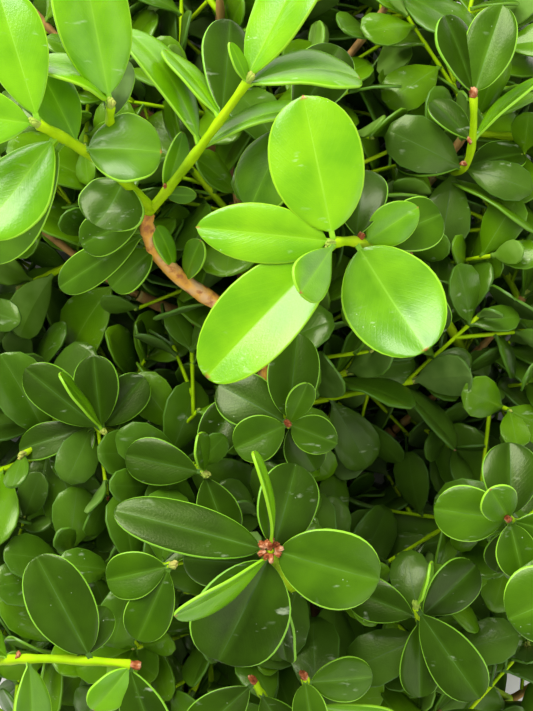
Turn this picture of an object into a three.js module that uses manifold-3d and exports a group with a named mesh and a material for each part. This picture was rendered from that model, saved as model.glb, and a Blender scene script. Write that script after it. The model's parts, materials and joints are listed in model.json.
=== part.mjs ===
// A leafy branch of common box, cut from the shrub and laid down. Millimetres: x runs across the branch,
// y towards its tip and z up from the surface it lies on.
//
// One woody stem runs from the cut face to the tip. Boughs leave it in opposite pairs, each pair a quarter
// turn on from the last, and every bough ends where its own mass of leafy shoots begins. The shoots on top
// stand where a viewer straight above sees them. The others grow by a seeded rule, which leaves out every
// shoot or leaf that would touch another mass, a bough or the surface below.

import * as THREE from 'three';
import { mergeVertices } from 'three/addons/utils/BufferGeometryUtils.js';
import Module from 'manifold-3d';

// The viewer: the eye is straight above the middle of the branch, and a point of the view is named by where
// its line of sight meets the picture plane.
const VIEW_DISTANCE = 230; // from the eye down to the picture plane
const PICTURE_HEIGHT = 78; // of the picture plane above the surface

// Main stem
const STEM_POINTS = [[27, -142, 4.6], [19, -86, 8], [-6, -14, 42], [-9, 74, 40]];
const STEM_RADIUS = { cut: 4.2, tip: 1.2 };
const STEM_TAPER = 0.85;
const CUT_SLANT = 0.22; // how far the cut face leans, as a rise over its width

// Boughs
const BOUGH_PAIRS = 10;
const FIRST_PAIR = 0.3; // places along the stem
const LAST_PAIR = 0.93;
const FIRST_LEAVE_ANGLE = 88; // degrees from the stem's own direction
const LAST_LEAVE_ANGLE = 58;
const SIDE_BOUGH = { first: 25, last: 20 };
const SIDE_MASS = { first: 40, last: 33 };
const UPPER_BOUGH = { first: 9, last: 6 };
const UPPER_MASS = { first: 15, last: 11 };
const LOWER_BOUGH = 0.28; // of the height at which it starts
const LOWER_MASS = 15;
const BOUGH_RADIUS = { root: 1.75, thinner: 0.5, taper: 0.35 };
const TURN = { side: [0, 0.28, 0.24], upper: [0, 0.05, 0.1], lower: [0, 0.5, 0.35] };
const MASS_TURN = { side: [0, 0.4, 0.1], upper: [0, 0.4, 0.1], lower: [0, 0.4, 0.9] };
const MASS_BEND = 0.4; // where along its length a mass's own stem turns
const MASS_RADIUS = { root: 1.35, thinner: 0.35, tip: 0.9 };
const TIP_MASS = { length: 24, lift: 0.3, root: 1.15, tip: 0.8 };
const JOINT_GAP = 0.35; // between a limb and what it carries

// Leaves
const STALK_SHARE = 0.08; // of the leaf's length
const STALK_WIDTH = 0.9;
const BLUNT_SHAPE = 1.45; // a higher number puts the widest place nearer the leaf's tip
const ROUND_SHAPE = 1.25;
const ROUND_BELOW = 1.5; // leaves less slender than this have the round shape
const FOLD = 0.3; // how far the two halves of a blade fold up along the midrib
const CUP = 0.38; // how far their rims curl back down
const LEAF_CROWN = 0.35; // how far the midrib stands over the blade's middle surface
const FOOT_SHIFT = 0.23; // of a leaf's foot from the middle of its twig
// Corners of a leaf's rim, as [share of the length, share of the half width]: a plainer rim for the many
const SEEN_RIM = [[0, 0], [0.36, -1], [0.8, -1], [1, 0], [0.8, 1], [0.36, 1]];
const RULED_RIM = [[0, 0], [0.44, -1], [0.92, -1], [0.92, 1], [0.44, 1]];
const MIDDLE = 0.6; // where along its length a leaf's faces meet
const CENTRE = 0.55;
const SAMPLES_ALONG = [0.15, 0.3, 0.45, 0.6, 0.75, 0.9];
const SAMPLES_ACROSS = [-1, -0.5, 0, 0.5, 1];

// The seeded rule: shoots
const SEED = 41;
const DICE = { multiplier: 16807, modulus: 2147483647 };
const SHOOTS = { right: 4, left: 4, upper: 3, lower: 2, tip: 4 }; // on each mass's own stem
const CANDIDATES = 12;
const SHOOT_PLACE = [0.12, 1];
const SHOOT_LEAN = [25, 80];
const SHOOT_REACH = [15, 30];
const SHOOT_LIFT = 0.08;
const SHOOT_RADIUS = { root: 0.95, tip: 0.75 };
const LOWEST_TIP = 5;
const LOW_TIP_STEPS = 3; // low tips end at one of this many heights, 1 mm apart
const TIP_SPACING = 11;
const TWIG_CLEARANCE = 2.2;
const LIMB_CLEARANCE = 0.6;
const ROOT_STRETCH = 4.5; // near its own root a shoot only keeps clear of the limbs
const SHOOT_SAMPLES = 12;
const STEM_SAMPLES = 120;
const BOUGH_SAMPLES = 12;
const FEWEST_SAMPLES = 4;
const SAMPLE_SPACING = 2;
const CHORDS = 16; // that a curve's length is summed over

// The seeded rule: leaves, in crossed pairs from each shoot's tip back to its root
const LEAF_LENGTH = 21.5;
const LEAF_RANKS = [
  { back: 0, pitch: 30, size: 0.62, arch: 10 },
  { back: 3.2, pitch: 55, size: 0.88, arch: 18 },
  { back: 9, pitch: 70, size: 1, arch: 26 },
  { back: 16, pitch: 76, size: 1, arch: 32 },
  { back: 23.5, pitch: 80, size: 0.95, arch: 34 },
  { back: 31, pitch: 82, size: 0.9, arch: 34 },
];
const STEM_RANK_STRETCH = 1.25; // the pairs on a mass's own stem stand further apart
const STEM_SPIN = 0.3;
const ROOT_BARE = 2.5;
const LEAF_LIFT = 0.15;
const FACE_UP = 0.55;
const VARY = { around: 0.2, pitch: 9, twist: 18, length: 0.14, width: 0.06 };
const WIDTH_SHARE = 0.6;
const ATTEMPTS = [
  { pitch: 0, size: 1, twist: 0 },
  { pitch: -18, size: 0.95, twist: 0 },
  { pitch: 14, size: 0.95, twist: 0 },
  { pitch: 0, size: 0.85, twist: 35 },
  { pitch: 0, size: 0.85, twist: -35 },
  { pitch: -30, size: 0.8, twist: 20 },
  { pitch: 10, size: 0.7, twist: 0 },
  { pitch: -15, size: 0.62, twist: 0 },
];

// The crown: a low dome that the rule's leaves stay under, with hollows where deeper shoots are seen
const CROWN = { x: 0, y: 2, width: 70, length: 96, height: 64, flat: 0.5 };
const HOLLOWS = [
  { x: -34, y: 4, radius: 20, depth: 22 },
  { x: 20, y: -24, radius: 17, depth: 24 },
  { x: -6, y: -2, radius: 14, depth: 14 },
  { x: 0, y: -12, radius: 10, depth: 10 },
];
const SHOOT_UNDER_CROWN = 4;
const LEAF_OVER_CROWN = 3;

// Clearances of a leaf's middle surface, half its thickness included
const CLEAR_OF_OTHERS = 1.35;
const CLEAR_OF_OWN = 0.7;
const CLEAR_OF_SAME_SHOOT = 0.4;
const STALK_SAMPLES = 10; // sample points near a leaf's foot, where the leaves of one shoot meet
const CLEAR_OF_LIMBS = 1.2;
const CLEAR_OF_RIM = 0.8;
const CLEAR_OF_OWN_TWIGS = 0.5;
const FLOOR_CLEARANCE = 0.5;
const NEAR_BASE = 2.5;
const FACE_MARGIN = 0.06;
const REACH = { length: 0.6, width: 0.5, spare: 1 };

// Fineness of the solids
const STEM_SIDES = 12;
const STEM_STEPS = 12;
const BOUGH_SIDES = 6;
const BOUGH_STEPS = 3;
const TWIG_SIDES = 3;
const TWIG_STEP_LENGTH = 11;
const SHORTEST_EDGE = 0.15; // shorter ones, left where pieces cross, are closed up
const BUD = 0.9; // how far a twig goes on past its last pair of leaves

const COLOURS = { stem: 0x8a5a3c, bough: 0x8f6a3f, foliage: 0x2f5a1e, young: 0x86b81c };
const ROUGHNESS = { wood: 0.85, foliage: 0.45 };
const LIGHT_MASSES = ['upper_3', 'right_3'];

// The shoots that the viewer sees on top. A bow and a tip are [across, up, height], with the first two
// read in the picture plane. A leaf is [place on the shoot, heading, rise, length, width, roll, arch, tint],
// with angles in degrees and the heading taken from the picture's right.
const SEEN_SHOOTS = [
  {
    name: 'woody_root', parent: 'upper_3', place: 0.9, bow: [0, -2, 57], tip: [-0.8, 5, 60],
    radius: [1.35, 1.3],
    leaves: [],
  },
  {
    name: 'woody_fork', parent: 'woody_root', place: 1, bow: [-20.8, 14, 63], tip: [-20, 23.5, 70],
    radius: [1.25, 1.1],
    leaves: [
      [0.5, 98, 35, 9, 4.5, 50, 30, 'fresh'],
      [0.4, 75, 40, 9, 5, -40, 20, 'green'],
      [1, 203, -1, 13, 7.5, 0, 25, 'mid'],
      [0.85, 209, -15, 21, 7, 0, 20, 'mid'],
      [0.7, 218, 2, 10.5, 7.2, 15, 25, 'mid'],
    ],
  },
  {
    name: 'tall_shoot', parent: 'woody_fork', place: 1, bow: [-14.5, 29.5, 78], tip: [-3.3, 45.5, 88],
    radius: [1, 0.75],
    leaves: [
      [0.25, 70, 10, 10.8, 4.6, 40, 10, 'fresh'],
      [0.25, -6, 10, 5.5, 3, 20, 10, 'green'],
      [0.62, 104, 8, 25, 10, 52, 48, 'fresh'],
      [0.56, 44, 0, 29, 11, -60, 62, 'fresh'],
      [0.97, 63, 10, 26, 11.5, -30, 5, 'lime'],
      [0.97, 29, 5, 21, 11, -45, 60, 'fresh'],
      [1, 112, 30, 7, 3, 40, 10, 'fresh'],
      [0.8, 119, -10, 16, 7, 55, 20, 'fresh'],
      [0.8, 84, -20, 20, 9, 20, 10, 'dark'],
    ],
  },
  {
    name: 'near_left_shoot', parent: 'tall_shoot', place: 0.08, bow: [-27, 33, 84], tip: [-38, 38.5, 99],
    radius: [1, 0.8],
    leaves: [
      [0.86, 232, 5, 19, 12, -10, 20, 'lime'],
      [0.8, 229, -14, 26, 12, -10, 20, 'green'],
      [1, 105, 12, 21, 10, 10, 20, 'lime'],
      [0.7, 114, 8, 14, 8, 20, 15, 'fresh'],
      [1, 175, 20, 16, 10, 0, 25, 'lime'],
      [0.66, 3, 8, 12.5, 12.5, -20, 25, 'green'],
    ],
  },
  {
    name: 'curled_shoot', parent: 'tall_shoot', place: 0.04, bow: [-27, 33, 80], tip: [-26, 41.5, 92],
    radius: [0.9, 0.75],
    leaves: [
      [1, 118, 25, 15, 10, 70, 80, 'lime'],
      [1, 99, 20, 26, 12, 20, 5, 'lime'],
      [0.85, 80, -15, 11, 5.5, 165, 10, 'dark'],
      [0.32, 240, -3, 8.8, 12.4, 0, 15, 'mid'],
    ],
  },
  {
    name: 'lime_rosette', parent: 'right_3', place: 0.6, bow: [23, 21.5, 76], tip: [11.2, 18.8, 91],
    radius: [1.1, 0.8],
    leaves: [
      [1, 102, 8, 23.3, 15, 0, 10, 'lime'],
      [0.98, 174, 8, 22.2, 10.2, -20, 15, 'lime'],
      [0.97, 224, 8, 30, 13.2, 15, 15, 'lime'],
      [1, 240, 52, 15, 8.5, -30, 10, 'fresh'],
      [0.86, 302, 2, 20, 16, 0, 10, 'lime'],
      [0.8, 33, 5, 10.5, 7, 10, 5, 'fresh'],
      [0.76, 24, -8, 14, 9, 0, 20, 'mid'],
      [0.85, 84, -20, 14, 9, 0, 15, 'dark'],
      [0.4, 290, -25, 12, 8, 0, 15, 'dark'],
    ],
  },
  {
    name: 'glossy_leaf_shoot', parent: 'upper_4', place: 0.6, bow: [6, 36, 62], tip: [4.5, 38.5, 77],
    radius: [0.8, 0.7],
    leaves: [
      [1, 238, -2, 16, 12, 15, 20, 'green'],
      [1, 60, 0, 16, 10, 0, 20, 'dark'],
      [1, 330, 10, 12, 8, 0, 15, 'dark'],
    ],
  },
  {
    name: 'upper_right_shoot', parent: 'right_4', place: 0.75, bow: [35, 27, 55], tip: [34.5, 43, 66],
    radius: [1, 0.7],
    leaves: [
      [1, 109, 15, 15, 9, 40, 10, 'dark'],
      [1, 74, 10, 16.5, 9, -15, 10, 'mid'],
      [0.72, 52, 5, 17, 7, -70, 20, 'fresh'],
      [0.72, 128, -10, 11, 6, 20, 15, 'dark'],
      [0.4, 20, -10, 13, 7, -30, 20, 'dark'],
      [0.4, 165, -10, 13, 7, 30, 20, 'dark'],
    ],
  },
  {
    name: 'dark_rosette', parent: 'upper_2', place: 0.95, bow: [4, -42, 70], tip: [0.6, -32.2, 84],
    radius: [1.2, 0.9],
    leaves: [
      [0.97, 163, 5, 26.5, 11, 46, 10, 'dark'],
      [1, -17, 5, 18.5, 13, 5, 15, 'mid'],
      [0.97, 72, -5, 15, 10.5, 0, 15, 'dark'],
      [0.97, 245, 0, 20.5, 16, -5, 15, 'dark'],
      [1, 82, 28, 18.5, 5.5, 86, 32, 'lime'],
      [0.97, 221, 24, 19, 8.5, -66, 22, 'fresh'],
      [0.86, 180, -12, 17, 9, 0, 20, 'dark'],
      [0.72, 266, -15, 17, 8, 50, 20, 'dark'],
      [0.72, 20, -20, 14, 9, 0, 20, 'dark'],
    ],
  },
  {
    name: 'centre_rosette', parent: 'upper_3', place: 0.9, bow: [4, -12, 66], tip: [3.6, -11.4, 73],
    radius: [0.9, 0.7],
    leaves: [
      [1, 84, 0, 15.5, 9, 0, 10, 'dark'],
      [1, 64, 35, 9, 4.8, 20, 10, 'mid'],
      [0.97, 150, -5, 14, 9.5, 10, 15, 'dark'],
      [1, 205, 5, 10, 8, 0, 15, 'mid'],
      [1, -22, 5, 9, 6.8, 0, 10, 'mid'],
      [0.9, 300, -15, 10, 7, 0, 10, 'dark'],
    ],
  },
  {
    name: 'right_rosette', parent: 'right_2', place: 0.85, bow: [44, -30, 68], tip: [40.4, -27.3, 82],
    radius: [1, 0.8],
    leaves: [
      [1, 172, 5, 12.3, 9.3, 0, 15, 'mid'],
      [1, 126, 45, 9, 6.5, 0, 10, 'green'],
      [1, -77, 10, 9.8, 7, 0, 15, 'mid'],
      [0.97, 88, -5, 13, 9.5, 0, 20, 'dark'],
      [0.97, -15, 0, 12, 7, 0, 20, 'mid'],
      [0.8, 250, -15, 10, 6.5, 0, 15, 'dark'],
      [0.7, -60, -10, 13, 9, 0, 15, 'dark'],
    ],
  },
  {
    name: 'lower_left_pair', parent: 'left_2', place: 0.95, bow: [-22, -36, 56], tip: [-16, -35, 65],
    radius: [0.9, 0.7],
    leaves: [
      [1, 194, 0, 12, 8.5, 0, 20, 'mid'],
      [1, 246, 0, 15, 8.5, 0, 15, 'mid'],
      [0.9, 60, -20, 12, 8, 0, 15, 'dark'],
    ],
  },
  {
    name: 'bottom_left_shoot', parent: 'left_1', place: 0.9, bow: [-70, -46.5, 72], tip: [-22.8, -51.5, 76],
    radius: [1.1, 0.8],
    leaves: [
      [0.93, 117, 5, 20, 11, 10, 10, 'dark'],
      [0.72, 131, 10, 12, 7.5, 60, 20, 'green'],
      [0.78, 277, 5, 14, 7, -40, 15, 'green'],
      [1, 236, 5, 10, 7, -30, 20, 'fresh'],
      [1, 285, -5, 15, 9, 20, 15, 'dark'],
      [0.9, 60, -10, 10, 6, 10, 10, 'dark'],
    ],
  },
  {
    name: 'left_leaf_shoot', parent: 'left_3', place: 0.3, bow: [-15, -16, 52], tip: [-10.5, -19.5, 62],
    radius: [0.9, 0.7],
    leaves: [
      [1, 168, 0, 14.5, 8.5, 0, 15, 'dark'],
      [1, 90, 40, 9, 5, 60, 10, 'green'],
      [0.9, 60, -5, 14, 8, 0, 15, 'dark'],
      [1, 290, 0, 13, 8, 0, 15, 'dark'],
      [0.2, 205, 5, 11, 5, 40, 15, 'lime'],
    ],
  },
  {
    name: 'left_dark_shoot', parent: 'left_3', place: 0.75, bow: [-30, -10, 46], tip: [-27.3, -12.5, 55],
    radius: [0.9, 0.7],
    leaves: [
      [1, 141, 10, 18, 8.5, 0, 15, 'dark'],
      [1, 97, 15, 14, 8.5, -10, 15, 'dark'],
      [1, 120, 35, 15, 6, 82, 5, 'fresh'],
      [0.95, 50, 10, 12.5, 7.5, 0, 15, 'dark'],
      [0.85, 195, -5, 16, 7, 20, 15, 'dark'],
      [0.85, 226, 0, 12, 8, 20, 15, 'dark'],
    ],
  },
  {
    name: 'right_edge_shoot', parent: 'right_1', place: 0.95, bow: [57, -48, 76], tip: [54, -38, 92],
    radius: [0.9, 0.7],
    leaves: [
      [1, 205, 0, 14, 13, 0, 15, 'mid'],
      [1, 120, 0, 12, 9, 0, 15, 'mid'],
      [1, -60, 0, 14, 9, 0, 15, 'dark'],
      [0.8, 160, -15, 12, 8, 0, 15, 'dark'],
    ],
  },
  {
    name: 'lower_right_shoot', parent: 'right_1', place: 0.3, bow: [26, -50, 52], tip: [25, -42, 64],
    radius: [0.9, 0.7],
    leaves: [
      [1, -56, 5, 19.5, 9.5, 10, 10, 'dark'],
      [0.9, -88, -5, 15, 7.5, 0, 10, 'dark'],
      [1, 75, 30, 10, 6, 75, 5, 'fresh'],
      [0.9, 40, 0, 14, 9, 10, 15, 'dark'],
      [0.9, 160, -10, 14, 8, 0, 15, 'dark'],
    ],
  },
  {
    name: 'low_left_bud', parent: 'upper_1', place: 0.7, bow: [2, -62, 57], tip: [-2, -54.5, 66],
    radius: [0.9, 0.7],
    leaves: [
      [1, 222, 0, 16, 9, 10, 15, 'dark'],
      [0.9, 300, 0, 13, 8, 0, 15, 'dark'],
    ],
  },
  {
    name: 'low_right_bud', parent: 'upper_1', place: 0.95, bow: [9, -62, 60], tip: [6.4, -53.8, 69],
    radius: [0.9, 0.7],
    leaves: [
      [1, 278, 5, 12, 6.5, 10, 15, 'mid'],
      [0.96, 2, -5, 12, 8, 0, 15, 'mid'],
      [0.7, 345, 0, 15, 6, 40, 15, 'fresh'],
    ],
  },
];

const UP = new THREE.Vector3(0, 0, 1);
const AHEAD = new THREE.Vector3(0, 1, 0);
const STEEP = 0.85; // a chord steeper than this takes its frame from AHEAD

const wasm = await Module();
wasm.setup();

// Vectors, angles and the dice

/** The sum of some vectors, each times its weight. */
function blend(...terms) {
  const sum = new THREE.Vector3();
  terms.forEach(([vector, weight]) => sum.addScaledVector(vector, weight));
  return sum;
}

/** The direction of a vector, pushed by another one given as an array. */
function pushed(direction, push) {
  return direction.clone().add(new THREE.Vector3(...push)).normalize();
}

function cross(a, b) {
  return new THREE.Vector3().crossVectors(a, b);
}

function radians(degrees) {
  return (degrees * Math.PI) / 180;
}

function mix(from, to, share) {
  return from + (to - from) * share;
}

/** The point at a given height on the line of sight through a point of the picture plane. */
function seen([across, up, height]) {
  const nearer = (VIEW_DISTANCE - (height - PICTURE_HEIGHT)) / VIEW_DISTANCE;
  return new THREE.Vector3(across * nearer, up * nearer, height);
}

/** Seeded dice, which roll the same numbers everywhere. */
class Dice {
  constructor(seed) {
    this.state = seed;
  }

  between(low, high) {
    this.state = (this.state * DICE.multiplier) % DICE.modulus;
    return mix(low, high, this.state / DICE.modulus);
  }
}

/** A smooth curve that its control points draw, by repeated division. */
class Curve {
  constructor(...points) {
    this.points = points;
  }

  divided(t, rowLength) {
    let row = this.points;
    while (row.length > rowLength) {
      const before = row;
      row = before.slice(1).map((point, i) => before[i].clone().lerp(point, t));
    }
    return row;
  }

  at(t) {
    return this.divided(t, 1)[0].clone();
  }

  tangent(t) {
    const [from, to] = this.divided(t, 2);
    return to.clone().sub(from).normalize();
  }

  /** The axis at t, with a sideways and an upward direction square to it. */
  frame(t) {
    const axis = this.tangent(t);
    const chord = this.points.at(-1).clone().sub(this.points[0]).normalize();
    const side = cross(axis, Math.abs(chord.z) < STEEP ? UP : AHEAD).normalize();
    return { axis, side, up: cross(side, axis) };
  }

  length() {
    const along = Array.from({ length: CHORDS + 1 }, (_, i) => this.at(i / CHORDS));
    return along.slice(1).reduce((total, point, i) => total + point.distanceTo(along[i]), 0);
  }
}

/** A twig or limb: a curve with a thickness, sampled for the clearance tests. */
class Twig {
  constructor(name, mass, curve, radiusAt, samples) {
    Object.assign(this, { name, mass, curve, radiusAt });
    const count = samples ?? Math.max(FEWEST_SAMPLES, Math.floor(curve.length() / SAMPLE_SPACING));
    this.shares = Array.from({ length: count + 1 }, (_, i) => i / count);
    this.points = this.shares.map((t) => curve.at(t));
    this.radii = this.shares.map(radiusAt);
  }
}

/** A flat triangle that can tell whether a point lies close above or below it. */
class Face {
  constructor(a, b, c) {
    this.origin = a;
    this.first = b.clone().sub(a);
    this.second = c.clone().sub(a);
    this.normal = cross(this.first, this.second).normalize();
    this.firstSquare = this.first.dot(this.first);
    this.product = this.first.dot(this.second);
    this.secondSquare = this.second.dot(this.second);
    this.scale = this.firstSquare * this.secondSquare - this.product * this.product;
  }

  near(point, margin) {
    const offset = point.clone().sub(this.origin);
    if (Math.abs(offset.dot(this.normal)) >= margin) return false;
    const alongFirst = offset.dot(this.first);
    const alongSecond = offset.dot(this.second);
    const v = (this.secondSquare * alongFirst - this.product * alongSecond) / this.scale;
    const w = (this.firstSquare * alongSecond - this.product * alongFirst) / this.scale;
    return v > -FACE_MARGIN && w > -FACE_MARGIN && v + w < 1 + FACE_MARGIN;
  }
}

/** Whether one of the points lies within its margin of one of the faces. */
function touches(points, faces, marginAt) {
  return points.some((point, i) => faces.some((face) => face.near(point, marginAt(i))));
}

/** Whether all of a leaf's own points keep off a twig or limb. */
function rimClear(leaf, twig) {
  return twig.points.every((centre, i) =>
    leaf.points.every((point) => point.distanceTo(centre) >= twig.radii[i] + CLEAR_OF_RIM));
}

/** One leaf: an egg-shaped blade, widest towards its blunt tip, arched along and folded across. */
class Leaf {
  constructor({ base, heading, normal, length, width, arch, rim, shape = BLUNT_SHAPE, tint = 'dark' }) {
    this.base = base;
    this.heading = heading.clone().normalize();
    this.normal = blend([normal, 1], [this.heading, -normal.dot(this.heading)]).normalize();
    this.side = cross(this.heading, this.normal);
    Object.assign(this, { length, width, arch: radians(arch), rim, shape, tint });
  }

  halfWidth(t) {
    if (t <= STALK_SHARE) return STALK_WIDTH / 2;
    const u = ((t - STALK_SHARE) / (1 - STALK_SHARE)) ** this.shape;
    return Math.max((STALK_WIDTH / 2) * (1 - t), this.width * Math.sqrt(Math.max(0, u * (1 - u))));
  }

  /** The blade's upward direction at share t of its length. */
  upAt(t) {
    return blend([this.normal, Math.cos(this.arch * t)], [this.heading, Math.sin(this.arch * t)]);
  }

  /** The middle surface at share t of the length and share q of the half width. */
  at(t, q) {
    const along = (this.length * Math.sin(this.arch * t)) / this.arch;
    const down = (this.length * (1 - Math.cos(this.arch * t))) / this.arch;
    const half = this.halfWidth(t);
    const rise = half * (FOLD * Math.abs(q) - CUP * q * q);
    const across = blend([this.heading, along], [this.normal, -down], [this.side, half * q]);
    return across.add(this.base).addScaledVector(this.upAt(t), rise);
  }

  /** Works out what the clearance tests and the solid need. */
  solve() {
    this.corners = this.rim.map(([t, q]) => this.at(t, q));
    this.middle = this.at(MIDDLE, 0);
    const next = (i) => this.corners[(i + 1) % this.corners.length];
    this.faces = this.corners.map((corner, i) => new Face(this.middle, corner, next(i)));
    this.points = SAMPLES_ALONG.flatMap((t) => SAMPLES_ACROSS.map((q) => this.at(t, q)));
    this.points.push(this.at(1, 0));
    this.centre = this.at(CENTRE, 0);
    this.reach = Math.max(this.length * REACH.length, this.width * REACH.width) + REACH.spare;
    return this;
  }
}

// Limbs

const stemCurve = new Curve(...STEM_POINTS.map((point) => new THREE.Vector3(...point)));

function stemRadius(t) {
  return mix(STEM_RADIUS.cut, STEM_RADIUS.tip, t ** STEM_TAPER);
}

function boughRadius(share, t) {
  return BOUGH_RADIUS.root - BOUGH_RADIUS.thinner * share - BOUGH_RADIUS.taper * t;
}

/** What the boughs and masses on one side of the stem measure. */
function boughSizes(kind, share, startHeight) {
  if (kind === 'lower') return { bough: startHeight * LOWER_BOUGH, mass: LOWER_MASS };
  const [bough, mass] = kind === 'upper' ? [UPPER_BOUGH, UPPER_MASS] : [SIDE_BOUGH, SIDE_MASS];
  return { bough: mix(bough.first, bough.last, share), mass: mix(mass.first, mass.last, share) };
}

/** One bough, from clear of the stem's bark to its tip, and the stem of the mass that goes on from it. */
function growBough(pair, end) {
  const share = pair / (BOUGH_PAIRS - 1);
  const place = mix(FIRST_PAIR, LAST_PAIR, share);
  const leave = radians(mix(FIRST_LEAVE_ANGLE, LAST_LEAVE_ANGLE, share));
  const { axis, side, up } = stemCurve.frame(place);
  const sideways = pair % 2 === 0;
  const kind = sideways ? (end > 0 ? 'right' : 'left') : (end > 0 ? 'upper' : 'lower');
  const way = blend([axis, Math.cos(leave)], [sideways ? side : up, Math.sin(leave) * end]).normalize();
  const rim = boughRadius(share, 0) * Math.cos(leave);
  const clear = (stemRadius(place) + JOINT_GAP + rim) / Math.sin(leave);
  const start = blend([stemCurve.at(place), 1], [way, clear]);
  const { bough, mass } = boughSizes(kind, share, start.z);
  const on = pushed(way, TURN[kind] ?? TURN.side);
  const bow = blend([start, 1], [way, bough / 2]);
  const tip = blend([bow, 1], [on, bough / 2]);
  const massStart = blend([tip, 1], [on, JOINT_GAP]);
  const massBow = blend([massStart, 1], [on, mass * MASS_BEND]);
  const turned = pushed(on, MASS_TURN[kind] ?? MASS_TURN.side);
  const massTip = blend([massBow, 1], [turned, mass * (1 - MASS_BEND)]);
  const massRoot = MASS_RADIUS.root - MASS_RADIUS.thinner * share;
  const name = `${kind}_${Math.floor(pair / 2) + 1}`;
  const boughCurve = new Curve(start, bow, tip);
  const massCurve = new Curve(massStart, massBow, massTip);
  return {
    name,
    limb: new Twig(`bough_${name}`, null, boughCurve, (t) => boughRadius(share, t), BOUGH_SAMPLES),
    stem: new Twig('stem', name, massCurve, (t) => mix(massRoot, MASS_RADIUS.tip, t)),
  };
}

/** The stem of the mass at the branch's tip, which goes on from the main stem. */
function growTip() {
  const way = stemCurve.tangent(1);
  const start = blend([stemCurve.at(1), 1], [way, JOINT_GAP]);
  const bow = blend([start, 1], [way, TIP_MASS.length / 2]);
  const tip = blend([bow, 1], [pushed(way, [0, 0, TIP_MASS.lift]), TIP_MASS.length / 2]);
  return new Twig('stem', 'tip', new Curve(start, bow, tip), (t) => mix(TIP_MASS.root, TIP_MASS.tip, t));
}

// Growth

/** How far out a place lies, as a square: 1 at the crown's edge. */
function outward(point) {
  return ((point.x - CROWN.x) / CROWN.width) ** 2 + ((point.y - CROWN.y) / CROWN.length) ** 2;
}

function crownTop(point) {
  let top = CROWN.height * Math.sqrt(Math.max(0, 1 - CROWN.flat * outward(point)));
  for (const { x, y, radius, depth } of HOLLOWS) {
    const share = Math.hypot(point.x - x, point.y - y) / radius;
    if (share < 1) top -= depth * (1 - share * share);
  }
  return top;
}

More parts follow.
